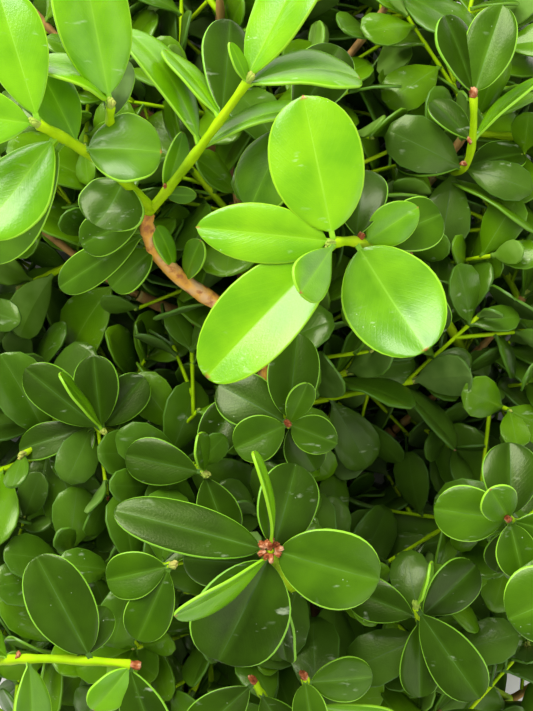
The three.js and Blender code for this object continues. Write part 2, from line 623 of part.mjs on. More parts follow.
/** The branch as it grows: its limbs, then its shoots, then its leaves. */
class Branch {
  constructor() {
    this.dice = new Dice(SEED);
    this.limbs = [new Twig('main_stem', null, stemCurve, stemRadius, STEM_SAMPLES)];
    this.stems = new Map();
    this.leaves = [];
    for (let pair = 0; pair < BOUGH_PAIRS; pair += 1) {
      for (const end of [1, -1]) {
        const { name, limb, stem } = growBough(pair, end);
        this.limbs.push(limb);
        this.stems.set(name, stem);
      }
    }
    this.stems.set('tip', growTip());
    this.shoots = [...this.stems.values()];
    this.growSeen();
    this.growShoots();
    this.growLeaves();
  }

  /** The shoots that the viewer sees on top, with their leaves. */
  growSeen() {
    const parents = new Map(this.stems);
    for (const { name, parent, place, bow, tip, radius, leaves } of SEEN_SHOOTS) {
      const carrier = parents.get(parent);
      const curve = new Curve(carrier.curve.at(place), seen(bow), seen(tip));
      const shoot = new Twig(name, carrier.mass, curve, (t) => mix(radius[0], radius[1], t));
      parents.set(name, shoot);
      this.shoots.push(shoot);
      leaves.forEach((row) => this.addLeaf(seenLeaf(curve, row), shoot));
    }
  }

  addLeaf(leaf, shoot) {
    this.leaves.push(Object.assign(leaf.solve(), { shoot, mass: shoot.mass }));
  }

  /** Adds shoots in turns, one to each mass at a time, each the candidate whose tip has most room. */
  growShoots() {
    const tips = this.shoots.map((shoot) => shoot.points.at(-1));
    for (let turn = 0; turn < Math.max(...Object.values(SHOOTS)); turn += 1) {
      for (const [mass, stem] of this.stems) {
        if (turn >= SHOOTS[mass.split('_')[0]]) continue;
        let best = null;
        let room = 0;
        for (let candidate = 0; candidate < CANDIDATES; candidate += 1) {
          const curve = this.candidateShoot(stem, candidate);
          if (!this.shootFits(curve)) continue;
          const spare = Math.min(...tips.map((tip) => tip.distanceTo(curve.points[1])));
          if (spare > room) {
            best = curve;
            room = spare;
          }
        }
        const spin = this.dice.between(0, Math.PI);
        if (room < TIP_SPACING) continue;
        const thickness = (t) => mix(SHOOT_RADIUS.root, SHOOT_RADIUS.tip, t);
        const shoot = new Twig(`shoot_${turn + 1}`, mass, best, thickness);
        this.shoots.push(Object.assign(shoot, { spin }));
        tips.push(best.points[1]);
      }
    }
  }

  candidateShoot(stem, candidate) {
    const t = this.dice.between(...SHOOT_PLACE);
    const around = this.dice.between(0, 2 * Math.PI);
    const lean = radians(this.dice.between(...SHOOT_LEAN));
    const reach = this.dice.between(...SHOOT_REACH);
    const { axis, side, up } = stem.curve.frame(t);
    const out = blend([side, Math.cos(around)], [up, Math.sin(around)]);
    const way = blend([axis, Math.cos(lean)], [out, Math.sin(lean)]).normalize();
    const root = stem.curve.at(t);
    const tip = blend([root, 1], [pushed(way, [0, 0, SHOOT_LIFT]), reach]);
    if (tip.z < LOWEST_TIP) tip.z = LOWEST_TIP + (candidate % LOW_TIP_STEPS);
    return new Curve(root, tip);
  }

  shootFits(curve) {
    const [root, tip] = curve.points;
    if (outward(tip) > 1 || tip.z > crownTop(tip) - SHOOT_UNDER_CROWN) return false;
    const points = Array.from({ length: SHOOT_SAMPLES + 1 }, (_, i) => curve.at(i / SHOOT_SAMPLES));
    const free = points.filter((point) => point.distanceTo(root) > ROOT_STRETCH);
    const clearOf = (samples, limb, gap) => samples.every((point) =>
      limb.points.every((other, i) => point.distanceTo(other) - limb.radii[i] >= gap));
    return this.limbs.every((limb) => clearOf(points, limb, LIMB_CLEARANCE))
      && this.limbs.every((limb) => clearOf(free, limb, TWIG_CLEARANCE))
      && this.shoots.every((shoot) => clearOf(free, shoot, TWIG_CLEARANCE - shoot.radii[0]));
  }

  /** Adds pairs of leaves to the stems of the masses and the rule's shoots, from the tips back. */
  growLeaves() {
    const carriers = this.shoots.filter((shoot) => shoot.name === 'stem' || 'spin' in shoot);
    LEAF_RANKS.forEach((rank, turn) => {
      for (const shoot of carriers) {
        const stem = shoot.name === 'stem';
        const length = shoot.curve.length();
        const back = rank.back * (stem ? STEM_RANK_STRETCH : 1);
        const spin = (stem ? STEM_SPIN : shoot.spin) + (turn * Math.PI) / 2;
        for (const half of [0, 1]) {
          const vary = Array.from({ length: 5 }, () => this.dice.between(-1, 1));
          if (back > length - ROOT_BARE) continue;
          const around = spin + half * Math.PI + vary[0] * VARY.around;
          const found = this.firstClearLeaf(shoot, 1 - back / length, around, rank, vary);
          if (found) this.addLeaf(found, shoot);
        }
      }
    });
    const leafy = new Set(this.leaves.map((leaf) => leaf.shoot));
    this.shoots = this.shoots.filter((shoot) => !('spin' in shoot) || leafy.has(shoot));
  }

  firstClearLeaf(shoot, t, around, rank, vary) {
    for (const attempt of ATTEMPTS) {
      const leaf = ruledLeaf(shoot.curve, t, around, rank, vary, attempt).solve();
      if (this.leafFits(leaf, shoot)) return leaf;
    }
    return null;
  }

  leafFits(leaf, shoot) {
    const heights = leaf.points.map((point) => point.z);
    if (Math.min(...heights) < FLOOR_CLEARANCE) return false;
    if (Math.max(...heights) > crownTop(leaf.centre) + LEAF_OVER_CROWN) return false;
    return this.limbsClear(leaf) && this.twigsClear(leaf, shoot) && this.leavesClear(leaf, shoot);
  }

  limbsClear(leaf) {
    return this.limbs.every((limb) =>
      !touches(limb.points, leaf.faces, (i) => limb.radii[i] + CLEAR_OF_LIMBS) && rimClear(leaf, limb));
  }

  twigsClear(leaf, shoot) {
    return this.shoots.every((twig) => {
      if (twig === shoot) return true;
      if (twig.mass !== shoot.mass && !rimClear(leaf, twig)) return false;
      const margin = twig.mass === shoot.mass ? CLEAR_OF_OWN_TWIGS : CLEAR_OF_LIMBS;
      const far = [...twig.points.keys()].filter((i) => twig.points[i].distanceTo(leaf.base) > NEAR_BASE);
      return !touches(far.map((i) => twig.points[i]), leaf.faces, (i) => twig.radii[far[i]] + margin);
    });
  }

  leavesClear(leaf, shoot) {
    return this.leaves.every((other) => {
      if (leaf.centre.distanceTo(other.centre) > leaf.reach + other.reach) return true;
      if (other.shoot === shoot) {
        const blade = (one) => one.points.slice(STALK_SAMPLES);
        const slight = () => CLEAR_OF_SAME_SHOOT;
        return !touches(blade(leaf), other.faces, slight) && !touches(blade(other), leaf.faces, slight);
      }
      const margin = () => (other.mass === shoot.mass ? CLEAR_OF_OWN : CLEAR_OF_OTHERS);
      return !touches(leaf.points, other.faces, margin) && !touches(other.points, leaf.faces, margin);
    });
  }
}

/** A leaf that the viewer sees, on a shoot's curve. */
function seenLeaf(curve, [place, heading, rise, length, width, roll, arch, tint]) {
  const [turn, lift, twist] = [heading, rise, roll].map(radians);
  const direction = new THREE.Vector3(
    Math.cos(lift) * Math.cos(turn),
    Math.cos(lift) * Math.sin(turn),
    Math.sin(lift),
  );
  const upward = blend([UP, 1], [direction, -direction.z]).normalize();
  const normal = blend([upward, Math.cos(twist)], [cross(direction, upward), Math.sin(twist)]);
  const shape = length / width > ROUND_BELOW ? BLUNT_SHAPE : ROUND_SHAPE;
  const base = curve.at(place);
  return new Leaf({ base, heading: direction, normal, length, width, arch, rim: SEEN_RIM, shape, tint });
}

/** A leaf by the rule, at share t of a shoot and turned some way around it. */
function ruledLeaf(curve, t, around, rank, vary, attempt) {
  const { axis, side, up } = curve.frame(t);
  const out = blend([side, Math.cos(around)], [up, Math.sin(around)]);
  const pitch = radians(rank.pitch + vary[1] * VARY.pitch + attempt.pitch);
  const heading = blend([axis, Math.cos(pitch)], [out, Math.sin(pitch)], [UP, LEAF_LIFT]).normalize();
  const inward = blend([axis, Math.sin(pitch)], [out, -Math.cos(pitch)], [UP, FACE_UP]);
  const upper = blend([inward, 1], [heading, -inward.dot(heading)]).normalize();
  const twist = radians(vary[2] * VARY.twist + attempt.twist);
  const normal = blend([upper, Math.cos(twist)], [cross(heading, upper), Math.sin(twist)]);
  const length = LEAF_LENGTH * rank.size * (1 + VARY.length * vary[3]) * attempt.size;
  const width = length * (WIDTH_SHARE + VARY.width * vary[4]);
  return new Leaf({ base: curve.at(t), heading, normal, length, width, arch: rank.arch, rim: RULED_RIM });
}

// Solids

/** A tapering limb: a cylinder bent along a curve. slant leans its root face, and bud carries its tip on. */
function limbGeometry({ curve, radiusAt }, sides, steps, { slant = 0, bud = 0 } = {}) {
  const geometry = new THREE.CylinderGeometry(1, 1, 1, sides, steps);
  const place = geometry.attributes.position;
  for (let i = 0; i < place.count; i += 1) {
    const t = Math.round((place.getY(i) + 0.5) * steps) / steps;
    const { axis, side, up } = curve.frame(t);
    const radius = radiusAt(t);
    const shift = (t === 0 ? slant * place.getX(i) * radius : 0) + (t === 1 ? bud : 0);
    const point = blend([side, place.getX(i) * radius], [up, place.getZ(i) * radius], [axis, shift]);
    place.setXYZ(i, ...point.add(curve.at(t)).toArray());
  }
  geometry.deleteAttribute('normal');
  geometry.deleteAttribute('uv');
  return mergeVertices(geometry);
}

/** A leaf's solid: a shallow fan on top, closed below by a strip that runs from its foot to its tip. */
function leafGeometry(leaf) {
  const foot = blend([leaf.corners[0], 1], [leaf.heading, FOOT_SHIFT]);
  const top = blend([leaf.middle, 1], [leaf.upAt(MIDDLE), LEAF_CROWN]);
  const geometry = new THREE.BufferGeometry().setFromPoints([foot, ...leaf.corners.slice(1), top]);
  const count = leaf.corners.length;
  const faces = leaf.corners.flatMap((_, i) => [count, (i + 1) % count, i]);
  let [left, right] = [0, count - 1];
  while (right - left > 1) {
    faces.push(left, left + 1, right);
    left += 1;
    if (right - left > 1) {
      faces.push(left, right - 1, right);
      right -= 1;
    }
  }
  return geometry.setIndex(faces);
}

function toSolid(geometry) {
  const vertProperties = new Float32Array(geometry.attributes.position.array);
  const triVerts = new Uint32Array(geometry.index.array);
  return new wasm.Manifold(new wasm.Mesh({ numProp: 3, vertProperties, triVerts }));
}

/** Fuses some solids and keeps the largest outer skin, with no sealed hollow and no loose scrap. */
function fuse(geometries) {
  const whole = geometries.map(toSolid).reduce((sum, solid) => sum.add(solid));
  const skins = whole.simplify(SHORTEST_EDGE).decompose();
  const largest = skins.reduce((most, skin) => (skin.volume() > most.volume() ? skin : most));
  const { vertProperties, triVerts } = largest.getMesh();
  const geometry = new THREE.BufferGeometry();
  geometry.setAttribute('position', new THREE.BufferAttribute(vertProperties, 3));
  return geometry.setIndex(new THREE.BufferAttribute(triVerts, 1));
}

/** A named mesh with its origin at its own root. */
function piece(name, geometry, root, colour, roughness) {
  geometry.translate(-root.x, -root.y, -root.z);
  geometry.computeVertexNormals();
  const material = new THREE.MeshStandardMaterial({ color: colour, roughness, metalness: 0 });
  const mesh = new THREE.Mesh(geometry, material);
  mesh.name = name;
  mesh.position.copy(root);
  return mesh;
}

function massPiece(branch, mass) {
  const twigs = branch.shoots.filter((shoot) => shoot.mass === mass);
  const leaves = branch.leaves.filter((leaf) => leaf.mass === mass);
  const bentSteps = (twig) => Math.max(2, Math.round(twig.curve.length() / TWIG_STEP_LENGTH));
  const steps = (twig) => ('spin' in twig ? 1 : bentSteps(twig));
  const solids = [
    ...twigs.map((twig) => limbGeometry(twig, TWIG_SIDES, steps(twig), { bud: BUD })),
    ...leaves.map(leafGeometry),
  ];
  const colour = LIGHT_MASSES.includes(mass) ? COLOURS.young : COLOURS.foliage;
  return piece(`foliage_${mass}`, fuse(solids), twigs[0].points[0], colour, ROUGHNESS.foliage);
}

/** The whole branch, standing on z = 0 with its box centred on the origin. */
function build() {
  const branch = new Branch();
  const [stem, ...boughs] = branch.limbs;
  const whole = new THREE.Group();
  const stemGeometry = limbGeometry(stem, STEM_SIDES, STEM_STEPS, { slant: CUT_SLANT });
  whole.add(piece(stem.name, stemGeometry, stem.points[0], COLOURS.stem, ROUGHNESS.wood));
  for (const bough of boughs) {
    const geometry = limbGeometry(bough, BOUGH_SIDES, BOUGH_STEPS);
    whole.add(piece(bough.name, geometry, bough.points[0], COLOURS.bough, ROUGHNESS.wood));
  }
  for (const mass of branch.stems.keys()) whole.add(massPiece(branch, mass));
  whole.updateMatrixWorld(true);
  const box = new THREE.Box3().setFromObject(whole, true);
  const middle = box.getCenter(new THREE.Vector3());
  whole.position.set(-middle.x, -middle.y, -box.min.z);
  return whole;
}

export default build();
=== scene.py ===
"""A leafy branch of common box, cut from the shrub and laid down, as it looks close up.

The growth works in millimetres, with x across the picture, y up the picture and z towards the camera. The
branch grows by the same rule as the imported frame's solids, and then goes on to finer twigs and leaves within
the same reach. Meshes are built from that growth and moved into the frame, in metres.
"""
import json
import math

import bpy
import numpy as np
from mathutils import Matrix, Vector, noise


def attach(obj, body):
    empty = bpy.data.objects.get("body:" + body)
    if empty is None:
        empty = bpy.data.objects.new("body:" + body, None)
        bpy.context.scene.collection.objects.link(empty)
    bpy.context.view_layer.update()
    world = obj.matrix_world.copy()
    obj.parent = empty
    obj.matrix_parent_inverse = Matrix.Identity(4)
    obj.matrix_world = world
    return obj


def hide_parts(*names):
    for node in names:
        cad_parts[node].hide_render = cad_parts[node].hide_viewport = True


MM = 0.001

# The camera looks straight down, and a point of the view is named by where its line of sight meets the
# picture plane
VIEW_DISTANCE = 230  # from the eye down to the picture plane
PICTURE_HEIGHT = 78  # of the picture plane above the floor
PICTURE_TALL = 118.5  # of the view at the picture plane
SENSOR = 36  # the camera's sensor along the picture's long side

# Main stem
STEM_POINTS = ((27, -142, 4.6), (19, -86, 8), (-6, -14, 42), (-9, 74, 40))
STEM_RADIUS = {"cut": 4.2, "tip": 1.2}
STEM_TAPER = 0.85
CUT_SLANT = 0.22

# Boughs
BOUGH_PAIRS = 10
FIRST_PAIR = 0.3
LAST_PAIR = 0.93
FIRST_LEAVE_ANGLE = 88
LAST_LEAVE_ANGLE = 58
SIDE_BOUGH = (25, 20)
SIDE_MASS = (40, 33)
UPPER_BOUGH = (9, 6)
UPPER_MASS = (15, 11)
LOWER_BOUGH = 0.28
LOWER_MASS = 15
BOUGH_RADIUS = {"root": 1.75, "thinner": 0.5, "taper": 0.35}
TURN = {"side": (0, 0.28, 0.24), "upper": (0, 0.05, 0.1), "lower": (0, 0.5, 0.35)}
MASS_TURN = {"side": (0, 0.4, 0.1), "upper": (0, 0.4, 0.1), "lower": (0, 0.4, 0.9)}
MASS_BEND = 0.4
MASS_RADIUS = {"root": 1.35, "thinner": 0.35, "tip": 0.9}
TIP_MASS = {"length": 24, "lift": 0.3, "root": 1.15, "tip": 0.8}
JOINT_GAP = 0.35

# Leaves
STALK_SHARE = 0.08
STALK_WIDTH = 0.9
BLUNT_SHAPE = 1.45
ROUND_SHAPE = 1.25
ROUND_BELOW = 1.5
FOLD = 0.3
CUP = 0.38
SEEN_RIM = ((0, 0), (0.36, -1), (0.8, -1), (1, 0), (0.8, 1), (0.36, 1))
RULED_RIM = ((0, 0), (0.44, -1), (0.92, -1), (0.92, 1), (0.44, 1))
MIDDLE = 0.6
CENTRE = 0.55
SAMPLES_ALONG = (0.15, 0.3, 0.45, 0.6, 0.75, 0.9)
SAMPLES_ACROSS = (-1, -0.5, 0, 0.5, 1)

# The seeded rule: the dice, and how closely twigs are sampled
SEED = 41
DICE_MULTIPLIER = 16807
DICE_MODULUS = 2147483647
SHOOT_SAMPLES = 12
STEM_SAMPLES = 120
BOUGH_SAMPLES = 12
FEWEST_SAMPLES = 4
SAMPLE_SPACING = 2
CHORDS = 16

# The seeded rule: shoots
SHOOTS = {"right": 4, "left": 4, "upper": 3, "lower": 2, "tip": 4}
SHOOT = {
    "candidates": 12, "place": (0.12, 1), "lean": (25, 80), "reach": (15, 30), "radius": (0.95, 0.75),
    "tip_spacing": 11, "clearance": 2.2, "edge": 1, "under_crown": 4,
}
SHOOT_LIFT = 0.08
LOWEST_TIP = 5
LOW_TIP_STEPS = 3
LIMB_CLEARANCE = 0.6
ROOT_STRETCH = 4.5

# The seeded rule: leaves, as (distance back from the tip, pitch, size, arch)
LEAF_LENGTH = 21.5
LEAF_RANKS = (
    (0, 30, 0.62, 10), (3.2, 55, 0.88, 18), (9, 70, 1, 26),
    (16, 76, 1, 32), (23.5, 80, 0.95, 34), (31, 82, 0.9, 34),
)
STEM_RANK_STRETCH = 1.25
STEM_SPIN = 0.3
ROOT_BARE = 2.5
LEAF_LIFT = 0.15
FACE_UP = 0.55
VARY = {"around": 0.2, "pitch": 9, "twist": 18, "length": 0.14, "width": 0.06}
WIDTH_SHARE = 0.6
# What is tried in turn for a leaf that doesn't fit, as (change of pitch, size, twist)
ATTEMPTS = (
    (0, 1, 0), (-18, 0.95, 0), (14, 0.95, 0), (0, 0.85, 35),
    (0, 0.85, -35), (-30, 0.8, 20), (10, 0.7, 0), (-15, 0.62, 0),
)

# The crown: a low dome with hollows where deeper shoots are seen, as (x, y, radius, depth)
CROWN = {"x": 0, "y": 2, "width": 70, "length": 96, "height": 64, "flat": 0.5}
HOLLOWS = ((-34, 4, 20, 22), (20, -24, 17, 24), (-6, -2, 14, 14), (0, -12, 10, 10))

# Clearances of a leaf's middle surface
CLEARANCE = {
    "others": 1.35, "own": 0.7, "same_shoot": 0.4, "limbs": 1.2, "rim": 0.8, "own_twigs": 0.5, "floor": 0.5,
    "over_crown": 3,
}
STALK_SAMPLES = 10
NEAR_BASE = 2.5
FACE_MARGIN = 0.06
REACH = {"length": 0.6, "width": 0.5, "spare": 1}
SEARCH_SPARE = 3  # past a leaf's reach, where twigs are still tested

# How some of the seen leaves differ from the rest. shape moves the widest place, point sharpens the tip,
# slim, fold and cup are shares of what is usual, roll turns the leaf in degrees, and curl lifts its tip.
EVEN = {"shape": 1.14}
SHINY = {"shape": 1.14, "fold": 0.75, "cup": 0.05}
CURLED = {"shape": 1.14, "curl": 0.28}
WEDGE = {"shape": 2.2, "slim": 0.86}
POINTED = {"shape": 1.1, "point": 0.3}
CUPPED = {"shape": 1.18, "fold": 1.3, "cup": 1.1}

# The shoots that the camera sees on top, as name: (parent, place, bow, tip, radii, leaves). A bow and a tip
# are (across, up, height), with the first two read in the picture plane. A leaf is (place on the shoot,
# heading, rise, length, width, roll, arch, tint, and perhaps its looks), with angles in degrees and the
# heading taken from the picture's right.
SEEN_SHOOTS = {
    "woody_root": ("upper_3", 0.9, (0, -2, 57), (-0.8, 5, 60), (1.35, 1.3), ()),
    "woody_fork": ("woody_root", 1, (-20.8, 14, 63), (-20, 23.5, 70), (1.25, 1.1), (
        (0.5, 98, 35, 9, 4.5, 50, 30, "fresh"),
        (0.4, 75, 40, 9, 5, -40, 20, "green"),
        (1, 203, -1, 13, 7.5, 0, 25, "mid"),
        (0.85, 209, -15, 21, 7, 0, 20, "mid"),
        (0.7, 218, 2, 10.5, 7.2, 15, 25, "mid"),
    )),
    "tall_shoot": ("woody_fork", 1, (-14.5, 29.5, 78), (-3.3, 45.5, 88), (1, 0.75), (
        (0.25, 70, 10, 10.8, 4.6, 40, 10, "fresh", POINTED),
        (0.25, -6, 10, 5.5, 3, 20, 10, "green", POINTED),
        (0.62, 104, 8, 25, 10, 52, 48, "fresh"),
        (0.56, 44, 0, 29, 11, -60, 62, "fresh"),
        (0.97, 63, 10, 26, 11.5, -30, 5, "lime"),
        (0.97, 29, 5, 21, 11, -45, 60, "fresh"),
        (1, 112, 30, 7, 3, 40, 10, "fresh", POINTED),
        (0.8, 119, -10, 16, 7, 55, 20, "fresh"),
        (0.8, 84, -20, 20, 9, 20, 10, "dark"),
    )),
    "near_left_shoot": ("tall_shoot", 0.08, (-27, 33, 84), (-38, 38.5, 99), (1, 0.8), (
        (0.86, 232, 5, 19, 12, -10, 20, "bright", {"roll": 22, "curl": 0.18}),
        (0.8, 229, -14, 26, 12, -10, 20, "green"),
        (1, 105, 12, 21, 10, 10, 20, "bright"),
        (0.7, 114, 8, 14, 8, 20, 15, "fresh"),
        (1, 175, 20, 16, 10, 0, 25, "bright"),
        (0.66, 3, 8, 12.5, 12.5, -20, 25, "green", CUPPED),
    )),
    "curled_shoot": ("tall_shoot", 0.04, (-27, 33, 80), (-26, 41.5, 92), (0.9, 0.75), (
        (1, 118, 25, 15, 10, 70, 80, "lime", POINTED),
        (1, 99, 20, 26, 12, 20, 5, "bright", EVEN),
        (0.85, 80, -15, 11, 5.5, 165, 10, "dark"),
        (0.32, 240, -3, 8.8, 12.4, 0, 15, "mid", {"shape": 1.14, "roll": 18, "curl": 0.3}),
    )),
    "lime_rosette": ("right_3", 0.6, (23, 21.5, 76), (11.2, 18.8, 91), (1.1, 0.8), (
        (1, 102, 8, 23.3, 15, 0, 10, "lime", EVEN),
        (0.98, 174, 8, 22.2, 10.2, -20, 15, "lime", {"shape": 1.1, "point": 0.3, "roll": 20, "slim": 0.95}),
        (0.97, 224, 8, 30, 13.2, 15, 15, "lime", SHINY),
        (1, 240, 52, 15, 8.5, -30, 10, "fresh", WEDGE),
        (0.86, 302, 2, 20, 16, 0, 10, "fresh", CURLED),
        (0.8, 33, 5, 10.5, 7, 10, 5, "fresh", POINTED),
        (0.76, 24, -8, 14, 9, 0, 20, "mid"),
        (0.85, 84, -20, 14, 9, 0, 15, "dark"),
        (0.4, 290, -25, 12, 8, 0, 15, "dark"),
    )),
    "glossy_leaf_shoot": ("upper_4", 0.6, (6, 36, 62), (4.5, 38.5, 77), (0.8, 0.7), (
        (1, 238, -2, 16, 12, 15, 20, "green", {"shape": 1.14, "roll": 12}),
        (1, 60, 0, 16, 10, 0, 20, "dark"),
        (1, 330, 10, 12, 8, 0, 15, "dark"),
    )),
    "upper_right_shoot": ("right_4", 0.75, (35, 27, 55), (34.5, 43, 66), (1, 0.7), (
        (1, 109, 15, 15, 9, 40, 10, "dark"),
        (1, 74, 10, 16.5, 9, -15, 10, "mid", EVEN),
        (0.72, 52, 5, 17, 7, -70, 20, "fresh"),
        (0.72, 128, -10, 11, 6, 20, 15, "dark"),
        (0.4, 20, -10, 13, 7, -30, 20, "dark"),
        (0.4, 165, -10, 13, 7, 30, 20, "dark"),
    )),
    "dark_rosette": ("upper_2", 0.95, (4, -42, 70), (0.6, -32.2, 84), (1.2, 0.9), (
        (0.97, 163, 5, 26.5, 11, 46, 10, "dark", {"shape": 1.14, "roll": -20, "slim": 0.82}),
        (1, -17, 5, 18.5, 13, 5, 15, "mid", CUPPED),
        (0.97, 72, -5, 15, 10.5, 0, 15, "dark", {**CUPPED, "roll": 16}),
        (0.97, 245, 0, 20.5, 16, -5, 15, "dark", CUPPED),
        (1, 82, 28, 18.5, 5.5, 86, 32, "lime"),
        (0.97, 221, 24, 19, 8.5, -66, 22, "fresh"),
        (0.86, 180, -12, 17, 9, 0, 20, "dark"),
        (0.72, 266, -15, 17, 8, 50, 20, "dark"),
        (0.72, 20, -20, 14, 9, 0, 20, "dark"),
    )),
    "centre_rosette": ("upper_3", 0.9, (4, -12, 66), (3.6, -11.4, 73), (0.9, 0.7), (
        (1, 84, 0, 15.5, 9, 0, 10, "dark", EVEN),
        (1, 64, 35, 9, 4.8, 20, 10, "mid"),
        (0.97, 150, -5, 14, 9.5, 10, 15, "dark"),
        (1, 205, 5, 10, 8, 0, 15, "mid"),
        (1, -22, 5, 9, 6.8, 0, 10, "mid", POINTED),
        (0.9, 300, -15, 10, 7, 0, 10, "dark"),
    )),
    "right_rosette": ("right_2", 0.85, (44, -30, 68), (40.4, -27.3, 82), (1, 0.8), (
        (1, 172, 5, 12.3, 9.3, 0, 15, "mid", CUPPED),
        (1, 126, 45, 9, 6.5, 0, 10, "green"),
        (1, -77, 10, 9.8, 7, 0, 15, "mid"),
        (0.97, 88, -5, 13, 9.5, 0, 20, "dark"),
        (0.97, -15, 0, 12, 7, 0, 20, "mid"),
        (0.8, 250, -15, 10, 6.5, 0, 15, "dark"),
        (0.7, -60, -10, 13, 9, 0, 15, "dark"),
    )),
    "lower_left_pair": ("left_2", 0.95, (-22, -36, 56), (-16, -35, 65), (0.9, 0.7), (
        (1, 194, 0, 12, 8.5, 0, 20, "mid"),
        (1, 246, 0, 15, 8.5, 0, 15, "mid"),
        (0.9, 60, -20, 12, 8, 0, 15, "dark"),
    )),
    "bottom_left_shoot": ("left_1", 0.9, (-70, -46.5, 72), (-22.8, -51.5, 76), (1.1, 0.8), (
        (0.93, 117, 5, 20, 11, 10, 10, "dark", EVEN),
        (0.72, 131, 10, 12, 7.5, 60, 20, "green"),
        (0.78, 277, 5, 14, 7, -40, 15, "green"),
        (1, 236, 5, 10, 7, -30, 20, "fresh"),
        (1, 285, -5, 15, 9, 20, 15, "dark"),
        (0.9, 60, -10, 10, 6, 10, 10, "dark"),
    )),
    "left_leaf_shoot": ("left_3", 0.3, (-15, -16, 52), (-10.5, -19.5, 62), (0.9, 0.7), (
        (1, 168, 0, 14.5, 8.5, 0, 15, "dark"),
        (1, 90, 40, 9, 5, 60, 10, "green"),
        (0.9, 60, -5, 14, 8, 0, 15, "dark"),
        (1, 290, 0, 13, 8, 0, 15, "dark"),
        (0.2, 205, 5, 11, 5, 40, 15, "lime"),
    )),
    "left_dark_shoot": ("left_3", 0.75, (-30, -10, 46), (-27.3, -12.5, 55), (0.9, 0.7), (
        (1, 141, 10, 18, 8.5, 0, 15, "dark"),
        (1, 97, 15, 14, 8.5, -10, 15, "dark"),
        (1, 120, 35, 15, 6, 82, 5, "fresh"),
        (0.95, 50, 10, 12.5, 7.5, 0, 15, "dark"),
        (0.85, 195, -5, 16, 7, 20, 15, "dark"),
        (0.85, 226, 0, 12, 8, 20, 15, "dark"),
    )),
    "right_edge_shoot": ("right_1", 0.95, (57, -48, 76), (54, -38, 92), (0.9, 0.7), (
        (1, 205, 0, 14, 13, 0, 15, "mid"),
        (1, 120, 0, 12, 9, 0, 15, "mid"),
        (1, -60, 0, 14, 9, 0, 15, "dark"),
        (0.8, 160, -15, 12, 8, 0, 15, "dark"),
    )),
    "lower_right_shoot": ("right_1", 0.3, (26, -50, 52), (25, -42, 64), (0.9, 0.7), (
        (1, -56, 5, 19.5, 9.5, 10, 10, "dark"),
        (0.9, -88, -5, 15, 7.5, 0, 10, "dark"),
        (1, 75, 30, 10, 6, 75, 5, "fresh"),
        (0.9, 40, 0, 14, 9, 10, 15, "dark"),
        (0.9, 160, -10, 14, 8, 0, 15, "dark"),
    )),
    "low_left_bud": ("upper_1", 0.7, (2, -62, 57), (-2, -54.5, 66), (0.9, 0.7), (
        (1, 222, 0, 16, 9, 10, 15, "dark"),
        (0.9, 300, 0, 13, 8, 0, 15, "dark"),
    )),
    "low_right_bud": ("upper_1", 0.95, (9, -62, 60), (6.4, -53.8, 69), (0.9, 0.7), (
        (1, 278, 5, 12, 6.5, 10, 15, "mid", POINTED),
        (0.96, 2, -5, 12, 8, 0, 15, "mid"),
        (0.7, 345, 0, 15, 6, 40, 15, "fresh"),
    )),
}

# The finer twigs that only the scene has, and their leaves
FINE_TURNS = 34
FINE = {
    "candidates": 10, "place": (0.1, 0.98), "lean": (25, 80), "reach": (9, 20), "radius": (0.6, 0.42),
    "tip_spacing": 5, "clearance": 1.0, "edge": 1.12, "under_crown": 2,
}
FINE_LENGTH = 16
FINE_RANKS = ((0, 28, 0.6, 10), (2.4, 52, 0.85, 18), (6.5, 68, 1, 26), (11.5, 75, 1, 30), (17, 80, 0.95, 32))
STALK_RANKS = (
    (5, 66, 0.95, 26), (10.5, 72, 1, 30), (16, 76, 1, 32), (22, 78, 1, 32), (28, 80, 1, 32), (34, 80, 1, 32),
)
FINE_CLEARANCE = {
    "others": 0.6, "own": 0.5, "same_shoot": 0.3, "limbs": 0.5, "rim": 0.3, "own_twigs": 0.3, "floor": 0.3,
    "over_crown": 2,
}
UNDER_SEEN = 1.5  # finer leaves stay this far below the leaves that the camera sees on top
JUST_UNDER = 1e-6  # keeps a roll of the dice below a list's end

# Vectors, curves and the dice

UP = np.array((0.0, 0.0, 1.0))
AHEAD = np.array((0.0, 1.0, 0.0))
STEEP = 0.85  # the rise of a curve past which it has no sideways of its own


def mix(low, high, share):
    return low + (high - low) * share


def unit(vector):
    return vector / math.sqrt(vector @ vector)


def cross(a, b):
    return np.array((a[1] * b[2] - a[2] * b[1], a[2] * b[0] - a[0] * b[2], a[0] * b[1] - a[1] * b[0]))


def seen(point):
    """The point at a given height on the line of sight through a point of the picture plane."""
    across, up, height = point
    nearer = (VIEW_DISTANCE - (height - PICTURE_HEIGHT)) / VIEW_DISTANCE
    return np.array((across * nearer, up * nearer, height))


class Dice:
    """Seeded dice, which roll the same numbers everywhere."""

    def __init__(self, seed):
        self.state = seed

    def between(self, low, high):
        self.state = self.state * DICE_MULTIPLIER % DICE_MODULUS
        return mix(low, high, self.state / DICE_MODULUS)


class Curve:
    """A smooth curve that its control points draw, by repeated division."""

    def __init__(self, *points):
        self.points = [np.array(point, float) for point in points]

    def divided(self, t, row_length):
        row = self.points
        while len(row) > row_length:
            row = [a + (b - a) * t for a, b in zip(row, row[1:])]
        return row

    def at(self, t):
        return self.divided(t, 1)[0]

    def tangent(self, t):
        a, b = self.divided(t, 2)
        return unit(b - a)

    def frame(self, t):
        """The axis at t, with a sideways and an upward direction square to it."""
        axis = self.tangent(t)
        chord = unit(self.points[-1] - self.points[0])
        side = unit(cross(axis, UP if abs(chord[2]) < STEEP else AHEAD))
        return axis, side, cross(side, axis)

    def length(self):
        along = [self.at(i / CHORDS) for i in range(CHORDS + 1)]
        return sum(math.dist(a, b) for a, b in zip(along, along[1:]))


